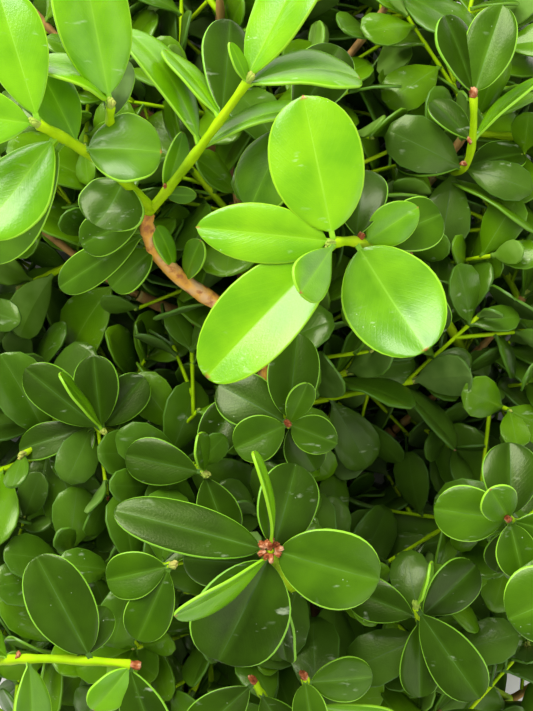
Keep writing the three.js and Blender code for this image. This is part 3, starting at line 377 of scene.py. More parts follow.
class Twig:
    """A twig or limb: a curve with a thickness, sampled for the clearance tests."""

    def __init__(self, name, mass, curve, radii, samples=None, spin=None, taper=None):
        self.name, self.mass, self.curve, self.radii, self.spin = name, mass, curve, radii, spin
        self.length = curve.length()
        self.taper = taper or (lambda t: mix(radii[0], radii[1], t))
        count = samples or max(FEWEST_SAMPLES, math.floor(self.length / SAMPLE_SPACING))
        self.sampled = np.array([(*curve.at(i / count), self.taper(i / count)) for i in range(count + 1)])
        self.leaf_places = []


class Leaf:
    """One leaf: an egg-shaped blade, widest towards its blunt tip, arched along and folded across."""

    def __init__(self, base, heading, normal, length, width, arch, rim, shape=BLUNT_SHAPE, tint=None):
        self.base = base
        self.heading = unit(heading)
        self.normal = unit(normal - (normal @ self.heading) * self.heading)
        self.side = cross(self.heading, self.normal)
        self.length, self.width, self.arch, self.shape = length, width, math.radians(arch), shape
        self.rim, self.tint, self.looks = rim, tint, {}
        self.solve()

    def solve(self):
        """Works out the sample points and the faces that the clearance tests need."""
        places = LEAF_PLACES[self.rim]
        solved = leaf_surface(self, places[:, 0], places[:, 1])
        count = len(self.rim)
        corners, middle, self.centre = solved[:count], solved[count], solved[count + 1]
        self.points = solved[count + 2:]
        self.planes = face_planes(middle, corners, np.roll(corners, -1, axis=0))
        self.reach = max(self.length * REACH["length"], self.width * REACH["width"]) + REACH["spare"]


def leaf_places(rim):
    """Where on a leaf its corners, middle, centre and sample points lie, as (along, across)."""
    samples = [(t, q) for t in SAMPLES_ALONG for q in SAMPLES_ACROSS]
    return np.array([*rim, (MIDDLE, 0), (CENTRE, 0), *samples, (1, 0)], float)


LEAF_PLACES = {rim: leaf_places(rim) for rim in (SEEN_RIM, RULED_RIM)}


def half_width(width, shape, t):
    """A leaf's half width at share t of its length."""
    u = (np.maximum(t - STALK_SHARE, 0) / (1 - STALK_SHARE)) ** shape
    blade = np.maximum(STALK_WIDTH / 2 * (1 - t), width * np.sqrt(np.maximum(0, u * (1 - u))))
    return np.where(t <= STALK_SHARE, STALK_WIDTH / 2, blade)


def leaf_surface(leaf, t, q):
    """The middle surface at shares t of the length and q of the half width."""
    along = leaf.length * np.sin(leaf.arch * t) / leaf.arch
    down = leaf.length * (1 - np.cos(leaf.arch * t)) / leaf.arch
    half = half_width(leaf.width, leaf.shape, t)
    rise = half * (FOLD * np.abs(q) - CUP * q * q)
    ahead = along + rise * np.sin(leaf.arch * t)
    upward = rise * np.cos(leaf.arch * t) - down
    spine = leaf.base + np.outer(ahead, leaf.heading) + np.outer(upward, leaf.normal)
    return spine + np.outer(half * q, leaf.side)


def face_planes(middle, first_corners, second_corners):
    """For each triangle round the middle, three planes that tell the height above it and the place in it."""
    first, second = first_corners - middle, second_corners - middle
    normal = np.cross(first, second)
    normal /= np.linalg.norm(normal, axis=1)[:, None]
    pairs = ((first, first), (first, second), (second, second))
    a, b, c = ((one * other).sum(1)[:, None] for one, other in pairs)
    scale = a * c - b * b
    planes = np.stack([normal, (c * first - b * second) / scale, (a * second - b * first) / scale], axis=1)
    return np.concatenate([planes, (planes @ middle)[:, :, None]], axis=2)


def near_faces(points, planes, margins):
    """Which points lie within their margin of which faces. planes has the shape (faces, 3, 4)."""
    placed = np.einsum("pk,fjk->jpf", points, planes[:, :, :3]) - planes[:, :, 3].T[:, None, :]
    height, v, w = placed
    inside = (v > -FACE_MARGIN) & (w > -FACE_MARGIN) & (v + w < 1 + FACE_MARGIN)
    return inside & (np.abs(height) < margins)


# Limbs

STEM_CURVE = Curve(*STEM_POINTS)


def stem_radius(t):
    return mix(STEM_RADIUS["cut"], STEM_RADIUS["tip"], t ** STEM_TAPER)


def bough_radius(share, t):
    return BOUGH_RADIUS["root"] - BOUGH_RADIUS["thinner"] * share - BOUGH_RADIUS["taper"] * t


def bough_sizes(kind, share, start_height):
    """What the bough and the mass on one side of the stem measure."""
    if kind == "lower":
        return start_height * LOWER_BOUGH, LOWER_MASS
    bough, mass = (UPPER_BOUGH, UPPER_MASS) if kind == "upper" else (SIDE_BOUGH, SIDE_MASS)
    return mix(*bough, share), mix(*mass, share)


def grow_bough(pair, end):
    """One bough, and the stem of the mass that goes on from it."""
    share = pair / (BOUGH_PAIRS - 1)
    place = mix(FIRST_PAIR, LAST_PAIR, share)
    leave = math.radians(mix(FIRST_LEAVE_ANGLE, LAST_LEAVE_ANGLE, share))
    axis, side, up = STEM_CURVE.frame(place)
    sideways = pair % 2 == 0
    kind = ("right" if end > 0 else "left") if sideways else ("upper" if end > 0 else "lower")
    way = unit(axis * math.cos(leave) + (side if sideways else up) * math.sin(leave) * end)
    rim = bough_radius(share, 0) * math.cos(leave)
    start = STEM_CURVE.at(place) + way * ((stem_radius(place) + JOINT_GAP + rim) / math.sin(leave))
    bough, mass = bough_sizes(kind, share, start[2])
    on = unit(way + TURN.get(kind, TURN["side"]))
    bow = start + way * bough / 2
    tip = bow + on * bough / 2
    mass_start = tip + on * JOINT_GAP
    mass_bow = mass_start + on * mass * MASS_BEND
    mass_tip = mass_bow + unit(on + MASS_TURN.get(kind, MASS_TURN["side"])) * mass * (1 - MASS_BEND)
    name = f"{kind}_{pair // 2 + 1}"
    radii = (bough_radius(share, 0), bough_radius(share, 1))
    limb = Twig(f"bough_{name}", None, Curve(start, bow, tip), radii, BOUGH_SAMPLES)
    mass_radii = (MASS_RADIUS["root"] - MASS_RADIUS["thinner"] * share, MASS_RADIUS["tip"])
    return limb, Twig("stem", name, Curve(mass_start, mass_bow, mass_tip), mass_radii)


def grow_tip():
    """The stem of the mass at the branch's tip."""
    way = STEM_CURVE.tangent(1)
    start = STEM_CURVE.at(1) + way * JOINT_GAP
    bow = start + way * TIP_MASS["length"] / 2
    tip = bow + unit(way + UP * TIP_MASS["lift"]) * TIP_MASS["length"] / 2
    return Twig("stem", "tip", Curve(start, bow, tip), (TIP_MASS["root"], TIP_MASS["tip"]))


# Growth

def outward(point):
    """How far out a place lies, as a square: 1 at the crown's edge."""
    return ((point[0] - CROWN["x"]) / CROWN["width"]) ** 2 + ((point[1] - CROWN["y"]) / CROWN["length"]) ** 2


def crown_top(point):
    top = CROWN["height"] * math.sqrt(max(0.0, 1 - CROWN["flat"] * outward(point)))
    for x, y, radius, depth in HOLLOWS:
        share = math.hypot(point[0] - x, point[1] - y) / radius
        if share < 1:
            top -= depth * (1 - share * share)
    return top


ROOF_HALF = 90  # of the roof's grid, in cells of 1 mm
ROOF_PLACES = (np.linspace(0.1, 1, 28), np.linspace(-1, 1, 19))  # where each leaf is read, along and across


class Roof:
    """How high the leaves that the camera sees on top lie, over a grid of the picture plane."""

    def __init__(self, leaves):
        self.heights = np.zeros((2 * ROOF_HALF, 2 * ROOF_HALF))
        grid = np.array([(t, q) for t in ROOF_PLACES[0] for q in ROOF_PLACES[1]])
        for leaf in leaves:
            points = leaf_surface(leaf, grid[:, 0], grid[:, 1])
            column, row = self.cells(points)
            np.maximum.at(self.heights, (row, column), points[:, 2])

    def cells(self, points):
        nearer = (VIEW_DISTANCE - (points[:, 2] - PICTURE_HEIGHT)) / VIEW_DISTANCE
        cells = np.floor(points[:, :2] / nearer[:, None]).astype(int) + ROOF_HALF
        return np.clip(cells, 0, 2 * ROOF_HALF - 1).T

    def over(self, points):
        column, row = self.cells(points)
        return self.heights[row, column]


class Branch:
    """The branch as it grows: its limbs, then its shoots, then its leaves."""

    def __init__(self):
        self.dice = Dice(SEED)
        stem_radii = (STEM_RADIUS["cut"], STEM_RADIUS["tip"])
        limbs = [Twig("main_stem", None, STEM_CURVE, stem_radii, STEM_SAMPLES, taper=stem_radius)]
        self.stems = {}
        self.added = 0
        self.shoots = []
        self.leaves = []
        self.twig_rows = np.zeros((0, 7))
        self.leaf_rows = np.zeros((0, 6))
        self.leaf_points = np.zeros((0, len(SAMPLES_ALONG) * len(SAMPLES_ACROSS) + 1, 3))
        self.leaf_planes = np.zeros((0, len(SEEN_RIM), 3, 4))
        for pair in range(BOUGH_PAIRS):
            for end in (1, -1):
                limb, stem = grow_bough(pair, end)
                limbs.append(limb)
                self.stems[stem.mass] = stem
        self.stems["tip"] = grow_tip()
        self.masses = list(self.stems)
        self.limbs = limbs
        self.limb_rows = np.concatenate([limb.sampled for limb in limbs])
        for stem in self.stems.values():
            self.add_shoot(stem)
        self.grow_seen()
        self.roof = Roof(self.leaves)
        self.grow_shoots()
        self.grow_leaves(self.carriers(), LEAF_RANKS, LEAF_LENGTH, CLEARANCE)

    def add_shoot(self, shoot):
        """Adds a shoot, with rows of x, y, z, radius, number, mass and root radius for the tests."""
        self.shoots.append(shoot)
        shoot.number = self.added
        self.added += 1
        marks = (shoot.number, self.masses.index(shoot.mass), shoot.radii[0])
        rows = np.hstack([shoot.sampled, np.tile(marks, (len(shoot.sampled), 1))])
        self.twig_rows = np.concatenate([self.twig_rows, rows])

    def add_leaf(self, leaf, shoot):
        """Adds a leaf with its row of centre, reach, shoot and mass, its sample points and its faces."""
        leaf.shoot = shoot
        self.leaves.append(leaf)
        planes = np.concatenate([leaf.planes, leaf.planes[:len(SEEN_RIM) - len(leaf.planes)]])
        row = (*leaf.centre, leaf.reach, shoot.number, self.masses.index(shoot.mass))
        self.leaf_rows = np.concatenate([self.leaf_rows, [row]])
        self.leaf_points = np.concatenate([self.leaf_points, leaf.points[None]])
        self.leaf_planes = np.concatenate([self.leaf_planes, planes[None]])

    def grow_seen(self):
        """The shoots that the camera sees on top, with their leaves."""
        parents = dict(self.stems)
        for name, (parent, place, bow, tip, radii, leaves) in SEEN_SHOOTS.items():
            carrier = parents[parent]
            curve = Curve(carrier.curve.at(place), seen(bow), seen(tip))
            shoot = Twig(name, carrier.mass, curve, radii)
            parents[name] = shoot
            self.add_shoot(shoot)
            for row in leaves:
                self.add_leaf(seen_leaf(curve, row), shoot)

    def carriers(self):
        return [shoot for shoot in self.shoots if shoot.name == "stem" or shoot.spin is not None]

    def grow_shoots(self):
        """Adds shoots in turns, one to each mass at a time."""
        tips = [shoot.sampled[-1, :3] for shoot in self.shoots]
        for turn in range(max(SHOOTS.values())):
            for mass, stem in self.stems.items():
                if turn < SHOOTS[mass.split("_")[0]]:
                    self.grow_shoot(f"shoot_{turn + 1}", mass, lambda: stem, SHOOT, tips)

    def grow_shoot(self, name, mass, parent, rule, tips):
        """Adds the candidate that fits and whose tip has most room, if that is enough."""
        best, room = None, 0
        for number in range(rule["candidates"]):
            curve = self.candidate(parent(), rule, number)
            if self.shoot_fits(curve, rule):
                spare = np.linalg.norm(np.array(tips) - curve.points[1], axis=1).min()
                if spare > room:
                    best, room = curve, spare
        spin = self.dice.between(0, math.pi)
        if room < rule["tip_spacing"]:
            return []
        shoot = Twig(name, mass, best, rule["radius"], spin=spin)
        self.add_shoot(shoot)
        tips.append(best.points[1])
        return [shoot]

    def candidate(self, stem, rule, number):
        t = self.dice.between(*rule["place"])
        around = self.dice.between(0, 2 * math.pi)
        lean = math.radians(self.dice.between(*rule["lean"]))
        reach = self.dice.between(*rule["reach"])
        axis, side, up = stem.curve.frame(t)
        out = side * math.cos(around) + up * math.sin(around)
        way = unit(axis * math.cos(lean) + out * math.sin(lean))
        root = stem.curve.at(t)
        tip = root + unit(way + UP * SHOOT_LIFT) * reach
        if tip[2] < LOWEST_TIP:
            tip[2] = LOWEST_TIP + number % LOW_TIP_STEPS
        return Curve(root, tip)

    def shoot_fits(self, curve, rule):
        root, tip = curve.points
        gap = rule["clearance"]
        if outward(tip) > rule["edge"] or tip[2] > crown_top(tip) - rule["under_crown"]:
            return False
        points = np.array([curve.at(i / SHOOT_SAMPLES) for i in range(SHOOT_SAMPLES + 1)])
        free = points[np.linalg.norm(points - root, axis=1) > ROOT_STRETCH]
        for tested, least in ((points, min(gap, LIMB_CLEARANCE)), (free, gap)):
            if (distances(tested, self.limb_rows) - self.limb_rows[:, 3]).min() < least:
                return False
        rows = self.twig_rows
        return bool((distances(free, rows) - rows[:, 3] >= gap - rows[:, 6]).all())

    def grow_leaves(self, carriers, ranks, leaf_length, clearance):
        """Adds pairs of leaves to the carriers, from their tips back."""
        for turn, (back, pitch, size, arch) in enumerate(ranks):
            for shoot in carriers:
                stem = shoot.name == "stem"
                distance = back * (STEM_RANK_STRETCH if stem else 1)
                spin = (shoot.spin if shoot.spin is not None else STEM_SPIN) + turn * math.pi / 2
                for half in (0, 1):
                    vary = [self.dice.between(-1, 1) for _ in range(5)]
                    if distance > shoot.length - ROOT_BARE:
                        continue
                    t = 1 - distance / shoot.length
                    around = spin + half * math.pi + vary[0] * VARY["around"]
                    rank = (pitch, size * leaf_length, arch)
                    found = self.first_clear_leaf(shoot, t, around, rank, vary, clearance)
                    if found:
                        self.add_leaf(found, shoot)
        leafy = {leaf.shoot.number for leaf in self.leaves}
        self.shoots = [shoot for shoot in self.shoots if shoot.spin is None or shoot.number in leafy]

    def first_clear_leaf(self, shoot, t, around, rank, vary, clearance):
        for attempt in ATTEMPTS:
            leaf = ruled_leaf(shoot.curve, t, around, rank, vary, attempt)
            if self.leaf_fits(leaf, shoot, clearance):
                return leaf
        return None

    def leaf_fits(self, leaf, shoot, clearance):
        heights = leaf.points[:, 2]
        if heights.min() < clearance["floor"]:
            return False
        top = crown_top(leaf.centre) + clearance["over_crown"]
        if clearance is FINE_CLEARANCE:
            over = self.roof.over(leaf.points)
            if (heights > np.maximum(top, over - UNDER_SEEN)).any():
                return False
        elif heights.max() > top:
            return False
        return self.limbs_clear(leaf, clearance) and self.twigs_clear(leaf, shoot, clearance) \
            and self.leaves_clear(leaf, shoot, clearance)

    def limbs_clear(self, leaf, clearance):
        rows = nearby(self.limb_rows, leaf)
        if not len(rows):
            return True
        if near_faces(rows[:, :3], leaf.planes, rows[:, 3:4] + clearance["limbs"]).any():
            return False
        return bool((distances(leaf.points, rows) >= rows[:, 3] + clearance["rim"]).all())

    def twigs_clear(self, leaf, shoot, clearance):
        rows = nearby(self.twig_rows, leaf)
        rows = rows[rows[:, 4] != shoot.number]
        if not len(rows):
            return True
        strangers = rows[rows[:, 5] != self.masses.index(shoot.mass)]
        if len(strangers) and (distances(leaf.points, strangers) < strangers[:, 3] + clearance["rim"]).any():
            return False
        rows = rows[np.linalg.norm(rows[:, :3] - leaf.base, axis=1) > NEAR_BASE]
        own = rows[:, 5] == self.masses.index(shoot.mass)
        margins = rows[:, 3] + np.where(own, clearance["own_twigs"], clearance["limbs"])
        return not near_faces(rows[:, :3], leaf.planes, margins[:, None]).any()

    def leaves_clear(self, leaf, shoot, clearance):
        rows = self.leaf_rows
        near = np.nonzero(np.linalg.norm(rows[:, :3] - leaf.centre, axis=1) <= leaf.reach + rows[:, 3])[0]
        if not len(near):
            return True
        same_shoot = rows[near, 4] == shoot.number
        same_mass = rows[near, 5] == self.masses.index(shoot.mass)
        margins = np.where(same_mass, clearance["own"], clearance["others"])
        margins = np.where(same_shoot, clearance["same_shoot"], margins)
        planes = self.leaf_planes[near]
        faces = planes.shape[1]
        hits = near_faces(leaf.points, planes.reshape(-1, 3, 4), np.repeat(margins, faces))
        hits = hits.reshape(len(leaf.points), len(near), faces)
        hits[:STALK_SAMPLES, same_shoot] = False
        if hits.any():
            return False
        points = self.leaf_points[near]
        samples = points.shape[1]
        hits = near_faces(points.reshape(-1, 3), leaf.planes, np.repeat(margins, samples)[:, None])
        hits = hits.reshape(len(near), samples, -1)
        hits[same_shoot, :STALK_SAMPLES] = False
        return not hits.any()

    def grow_finer(self):
        """Goes on to finer twigs, which leave any twig of a mass, and clothes bare stalks with leaves."""
        stalks = [shoot for shoot in self.shoots if shoot.name in SEEN_SHOOTS]
        self.grow_leaves(stalks, STALK_RANKS, FINE_LENGTH, FINE_CLEARANCE)
        tips = [shoot.sampled[-1, :3] for shoot in self.shoots]
        parents = {mass: [shoot for shoot in self.shoots if shoot.mass == mass] for mass in self.masses}
        fine = []
        for turn in range(FINE_TURNS):
            for mass, own in parents.items():
                grown = self.grow_shoot(f"fine_{turn + 1}", mass, lambda: self.one_of(own), FINE, tips)
                fine.extend(grown)
                own.extend(grown)
        self.grow_leaves(fine, FINE_RANKS, FINE_LENGTH, FINE_CLEARANCE)

    def one_of(self, choices):
        return choices[int(self.dice.between(0, len(choices) - JUST_UNDER))]


def distances(points, rows):
    """Distances from each point to each row's own point."""
    if not len(points):
        return np.full((1, len(rows)), np.inf)
    return np.linalg.norm(points[:, None] - rows[None, :, :3], axis=2)


def nearby(rows, leaf):
    """The rows whose points can lie close to a leaf."""
    gap = np.linalg.norm(rows[:, :3] - leaf.centre, axis=1) - rows[:, 3]
    return rows[gap < leaf.reach + SEARCH_SPARE]


def seen_leaf(curve, row):
    """A leaf that the camera sees, on a shoot's curve."""
    (place, heading, rise, length, width, roll, arch, tint), looks = row[:8], row[8:]
    turn, lift, twist = math.radians(heading), math.radians(rise), math.radians(roll)
    direction = np.array((math.cos(lift) * math.cos(turn), math.cos(lift) * math.sin(turn), math.sin(lift)))
    upward = unit(UP - direction * direction[2])
    normal = upward * math.cos(twist) + cross(direction, upward) * math.sin(twist)
    shape = BLUNT_SHAPE if length / width > ROUND_BELOW else ROUND_SHAPE
    leaf = Leaf(curve.at(place), direction, normal, length, width, arch, SEEN_RIM, shape, tint)
    leaf.looks = looks[0] if looks else {}
    return leaf


def ruled_leaf(curve, t, around, rank, vary, attempt):
    """A leaf by the rule, at share t of a shoot and turned some way around it."""
    axis, side, up = curve.frame(t)
    pitch, length, arch = rank
    pitch_change, size, turned = attempt
    out = side * math.cos(around) + up * math.sin(around)
    pitch = math.radians(pitch + vary[1] * VARY["pitch"] + pitch_change)
    heading = unit(axis * math.cos(pitch) + out * math.sin(pitch) + UP * LEAF_LIFT)
    inward = axis * math.sin(pitch) - out * math.cos(pitch) + UP * FACE_UP
    upper = unit(inward - heading * (inward @ heading))
    twist = math.radians(vary[2] * VARY["twist"] + turned)
    normal = upper * math.cos(twist) + cross(heading, upper) * math.sin(twist)
    length = length * (1 + VARY["length"] * vary[3]) * size
    width = length * (WIDTH_SHARE + VARY["width"] * vary[4])
    return Leaf(curve.at(t), heading, normal, length, width, arch, RULED_RIM)


# Meshes

class Pile:
    """Vertices, faces and UVs that are gathered for one mesh."""

    def __init__(self):
        self.vertices, self.faces, self.kinds, self.uvs = [], [], [], []
        self.count = 0

    def add(self, vertices, faces, kinds, uvs):
        """Adds vertices and the faces between them, as arrays of corners with their materials."""
        self.vertices.append(vertices)
        self.uvs.append(uvs)
        for corners, kind in zip(faces, kinds):
            self.faces.append(np.asarray(corners) + self.count)
            self.kinds.append(np.broadcast_to(kind, len(corners)))
        self.count += len(vertices)

    def build(self, name, materials, slot, nodes):
        """Makes the smooth mesh, in metres, which rides on the part and stands for some nodes."""
        vertices = to_frame(np.concatenate(self.vertices))
        uvs = np.concatenate(self.uvs)
        corners = np.concatenate([face.ravel() for face in self.faces])
        sizes = np.concatenate([np.full(len(face), face.shape[1]) for face in self.faces])
        mesh = bpy.data.meshes.new(name)
        mesh.vertices.add(len(vertices))
        mesh.vertices.foreach_set("co", vertices.astype(np.float32).ravel())
        mesh.loops.add(len(corners))
        mesh.loops.foreach_set("vertex_index", corners.astype(np.int32))
        mesh.polygons.add(len(sizes))
        mesh.polygons.foreach_set("loop_start", (np.cumsum(sizes) - sizes).astype(np.int32))
        mesh.polygons.foreach_set("material_index", np.concatenate(self.kinds).astype(np.int32))
        mesh.polygons.foreach_set("use_smooth", np.ones(len(sizes), bool))
        layer = mesh.uv_layers.new(name="UVMap")
        layer.data.foreach_set("uv", uvs[corners].astype(np.float32).ravel())
        mesh.update(calc_edges=True)
        mesh.validate()
        for material in materials:
            mesh.materials.append(material)
        piece = bpy.data.objects.new(name, mesh)
        bpy.context.scene.collection.objects.link(piece)
        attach(piece, "root")
        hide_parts(*nodes)


def to_frame(points):
    """Points of the growth, in millimetres, as points of the frame, in metres and no lower than the floor."""
    placed = (points + SHIFT) * MM
    placed[:, 2] = np.maximum(placed[:, 2], 0)
    return placed


# Leaf meshes: rows run from the foot to the tip, and columns across

BLADE, RIM, MIDRIB, UNDERSIDE = range(4)
LEAF_THICKNESS = 0.36
STALK_THICKNESS = 0.8
RIM_THICKNESS = 0.6  # of the blade's thickness
STALK_ROWS = (0, 0.045)
RIM_BAND = 0.042  # of the half width
RIM_SLOPE = 1.5  # of the rim's band, where the rim stands out
MIDRIB_BAND = (0.036, 0.005)  # of the half width, at the foot and at the tip
MIDRIB_RISE = 0.035
RIM_RISE = 0.05
RISE_BELOW = 1.5  # how much further midrib and rim stand out on the underside
FOLD_LOOKS = (0.95, 1.5)  # how sharply the scene's leaves fold, as a share of FOLD
CUP_LOOKS = (0.5, 1.05)
CREASE = 0.035  # how softly the two halves meet at the midrib
NOTCHED = 0.4  # the share of leaves whose tip is a little notched
TIP_REACH = (-0.02, 0.012)  # how far a notched tip and any other reach, in shares of the length
WAVE = 0.05  # the most that a half waves up and down, in shares of the half width
WAVE_CYCLES = (1.3, 2.1)
TWIST = 0.1  # the most that a blade twists along its length
EDGE_WAVE = (0.03, 9)  # of the outline: its height as a share of the half width, and its pace
BLADE_OPENS = 0.2  # of the length, over which a stalk turns into a blade
STALK_THINS = 0.16  # of the length, over which a stalk thins into a blade
CURLS_FROM = 0.4  # of the length
POINT_POWER = 5
LAST_ROW = 0.45  # how far short of the tip the last row stops, in rows
DETAIL = {"seen": (17, (0.2, 0.4, 0.6, 0.8)), "ruled": (8, (0.45,)), "fine": (6, ()), "scale": (3, ())}


def leaf_columns(between):
    """Places across a leaf: the rim's band, the blade's own columns and the midrib's band, on both halves."""
    inner, outer = MIDRIB_BAND[0], 1 - RIM_BAND
    right = [inner, *(mix(inner, outer, share) for share in between), outer, 1]
    return np.array([-q for q in reversed(right)] + right)


def leaf_rows(count):
    """Places along a leaf, closer together where its outline turns fastest."""
    x = (np.arange(count) + 1) / (count + LAST_ROW)
    return np.array([*STALK_ROWS, STALK_SHARE, *(STALK_SHARE + (1 - STALK_SHARE) * x * x * (3 - 2 * x))])


def leaf_topology(rows, columns):
    """The faces of one leaf: two grids, the rim between them, the foot's cap and the tip's fans."""
    across = len(columns)
    grid = np.arange(len(rows) * across).reshape(len(rows), across)
    low = grid + grid.size
    tip = 2 * grid.size
    quads, kinds = [], []

    def strip(a, b, c, d, kind):
        quads.append(np.stack([a.ravel(), b.ravel(), c.ravel(), d.ravel()], axis=1))
        kinds.append(np.broadcast_to(kind, a.shape).ravel())

    column_kind = np.full(across - 1, BLADE)
    column_kind[[0, -1]] = RIM
    column_kind[across // 2 - 1] = MIDRIB
    upper = np.tile(column_kind, (len(rows) - 1, 1))
    upper[:len(STALK_ROWS)] = MIDRIB
    strip(grid[:-1, :-1], grid[:-1, 1:], grid[1:, 1:], grid[1:, :-1], upper)
    strip(low[1:, :-1], low[1:, 1:], low[:-1, 1:], low[:-1, :-1], UNDERSIDE)
    strip(low[:-1, 0], grid[:-1, 0], grid[1:, 0], low[1:, 0], RIM)
    strip(grid[:-1, -1], low[:-1, -1], low[1:, -1], grid[1:, -1], RIM)
    strip(low[0, :-1], low[0, 1:], grid[0, 1:], grid[0, :-1], RIM)
    fan = np.stack([grid[-1, :-1], grid[-1, 1:], np.full(across - 1, tip)], axis=1)
    low_fan = np.stack([low[-1, 1:], low[-1, :-1], np.full(across - 1, tip)], axis=1)
    sides = np.array([(low[-1, 0], grid[-1, 0], tip), (grid[-1, -1], low[-1, -1], tip)])
    triangles = np.concatenate([fan, low_fan, sides])
    triangle_kinds = np.concatenate([column_kind, np.full(across - 1, UNDERSIDE), (RIM, RIM)])
    return (np.concatenate(quads), triangles), (np.concatenate(kinds), triangle_kinds)


def numbers_of(leaves, key):
    """A number of each leaf, to reckon with over the rows and columns of all leaves at once."""
    return np.array([getattr(leaf, key) for leaf in leaves], float)[:, None, None]


def points_of(leaves, key):
    return np.array([getattr(leaf, key) for leaf in leaves])[:, None, None, :]


def looks_of(leaves, key, usual):
    return np.array([leaf.looks.get(key, usual) for leaf in leaves], float)[:, None, None]


def leaf_chances(leaves, rng):
    """What differs from leaf to leaf by chance."""
    count = len(leaves)
    return {
        "fold": FOLD * rng.uniform(*FOLD_LOOKS, (count, 1, 1)) * looks_of(leaves, "fold", 1),
        "cup": CUP * rng.uniform(*CUP_LOOKS, (count, 1, 1)) * looks_of(leaves, "cup", 1),
        "wave": rng.uniform(0, WAVE, (count, 2, 1)),
        "phase": rng.uniform(0, 2 * math.pi, (count, 2, 1)),
        "twist": rng.uniform(-TWIST, TWIST, (count, 1, 1)),
    }


def leaf_halves(leaves, t, q, blade, chances):
    """The half width at each place, with the outline's own soft wave."""
    shape = np.array([leaf.looks.get("shape", leaf.shape) for leaf in leaves], float)[:, None, None]
    half = half_width(numbers_of(leaves, "width") * looks_of(leaves, "slim", 1), shape, t)
    half = half * (1 - looks_of(leaves, "point", 0) * blade * t ** POINT_POWER)
    height, pace = EDGE_WAVE
    turned = pace * t + chances["phase"][:, :1] + np.sign(q)
    return half * (1 + height * np.sin(turned) * blade * (1 - t))


def leaf_rise(leaves, t, q, blade, half, chances):
    """How far the middle surface stands out from the leaf's arch: fold, cup, waves, twist and curl."""
    soft = np.sqrt(q * q + CREASE * CREASE) - CREASE
    rise = half * (chances["fold"] * soft * (1 + CREASE) - chances["cup"] * q * q)
    for i, cycles in enumerate(WAVE_CYCLES):
        bend = np.sin(cycles * 2 * math.pi * t + chances["phase"][:, i:i + 1]) * (q if i else 1)
        rise = rise + blade * half * chances["wave"][:, i:i + 1] * bend * q * q
    curled = np.clip((t - CURLS_FROM) / (1 - CURLS_FROM), 0, 1) ** 2
    curl = looks_of(leaves, "curl", 0) * numbers_of(leaves, "length") * curled
    return rise + blade * chances["twist"] * half * q * t + curl


def leaf_layer(leaves, t, aside, lift):
    """The points that lie some way aside of each leaf's arched middle line and lifted from it."""
    length, arch = numbers_of(leaves, "length"), numbers_of(leaves, "arch")
    roll = np.radians(looks_of(leaves, "roll", 0))[..., None]
    normal, side = points_of(leaves, "normal"), points_of(leaves, "side")
    slope, upright = np.sin(arch * t), np.cos(arch * t)
    along, down = length * slope / arch, length * (1 - upright) / arch
    ahead = (along + lift * slope)[..., None] * points_of(leaves, "heading")
    upward = (lift * upright - down)[..., None] * (normal * np.cos(roll) + side * np.sin(roll))
    sideways = aside[..., None] * (side * np.cos(roll) - normal * np.sin(roll))
    return points_of(leaves, "base") + ahead + upward + sideways


def leaf_vertices(leaves, rows, columns, rng):
    """The vertices of many leaves at once, upper grid first, then the lower grid and the tip."""
    chances = leaf_chances(leaves, rng)
    t = np.append(rows, 1.0)[None, :, None]
    q = columns[None, None, :]
    centre = np.abs(q) <= MIDRIB_BAND[0]
    q = np.where(centre, np.sign(q) * mix(*MIDRIB_BAND, t), q)
    blade = np.clip((t - STALK_SHARE) / BLADE_OPENS, 0, 1)
    half = leaf_halves(leaves, t, q, blade, chances)
    rise = leaf_rise(leaves, t, q, blade, half, chances)
    thick = mix(STALK_THICKNESS, LEAF_THICKNESS, np.clip(t / STALK_THINS, 0, 1))
    thick = thick * np.where(np.abs(q) >= 1, RIM_THICKNESS, 1)
    on_rim = np.abs(q) > 1 - RIM_BAND * RIM_SLOPE
    ridge = blade * np.where(centre, MIDRIB_RISE, np.where(on_rim, RIM_RISE, 0.0))
    lifts = (rise + thick / 2 + ridge, rise - thick / 2 - ridge * RISE_BELOW)
    layers = [leaf_layer(leaves, t, half * q, lift) for lift in lifts]
    tips = leaf_tips(leaves, layers, rng)
    body = [layer[:, :-1].reshape(len(leaves), -1, 3) for layer in layers]
    return np.concatenate([*body, tips[:, None]], axis=1)


def leaf_tips(leaves, layers, rng):
    """The last point of each leaf, which a notched tip draws in and any other pushes out."""
    middle = layers[0].shape[2] // 2
    length, arch = (numbers_of(leaves, key)[:, :, 0] for key in ("length", "arch"))
    reach = np.where(rng.random((len(leaves), 1)) < NOTCHED, *TIP_REACH) * length
    ahead = points_of(leaves, "heading")[:, 0, 0] * reach * np.cos(arch)
    return sum(layer[:, -1, middle] for layer in layers) / 2 + ahead


def leaf_uvs(rows, columns):
    grid = np.stack(np.meshgrid((columns + 1) / 2, rows), axis=-1).reshape(-1, 2)
    return np.concatenate([grid, grid, [(0.5, 1)]])


def add_leaves(pile, leaves, detail, rng):
    """Adds the leaves' meshes, and says how many triangles they have."""
    count, between = DETAIL[detail]
    rows, columns = leaf_rows(count), leaf_columns(between)
    vertices = leaf_vertices(leaves, rows, columns, rng)
    faces, kinds = leaf_topology(rows, columns)
    each = vertices.shape[1]
    steps = np.arange(len(leaves))[:, None, None] * each
    all_faces = [(face[None] + steps).reshape(-1, face.shape[1]) for face in faces]
    pile.add(vertices.reshape(-1, 3), all_faces, [np.tile(kind, len(leaves)) for kind in kinds],
             np.tile(leaf_uvs(rows, columns), (len(leaves), 1)))
    return sum(len(face) * (face.shape[1] - 2) for face in all_faces)


MOST_TRIANGLES = 190000  # in a pile, past which a new one is begun
LEAVES_AT_ONCE = 50


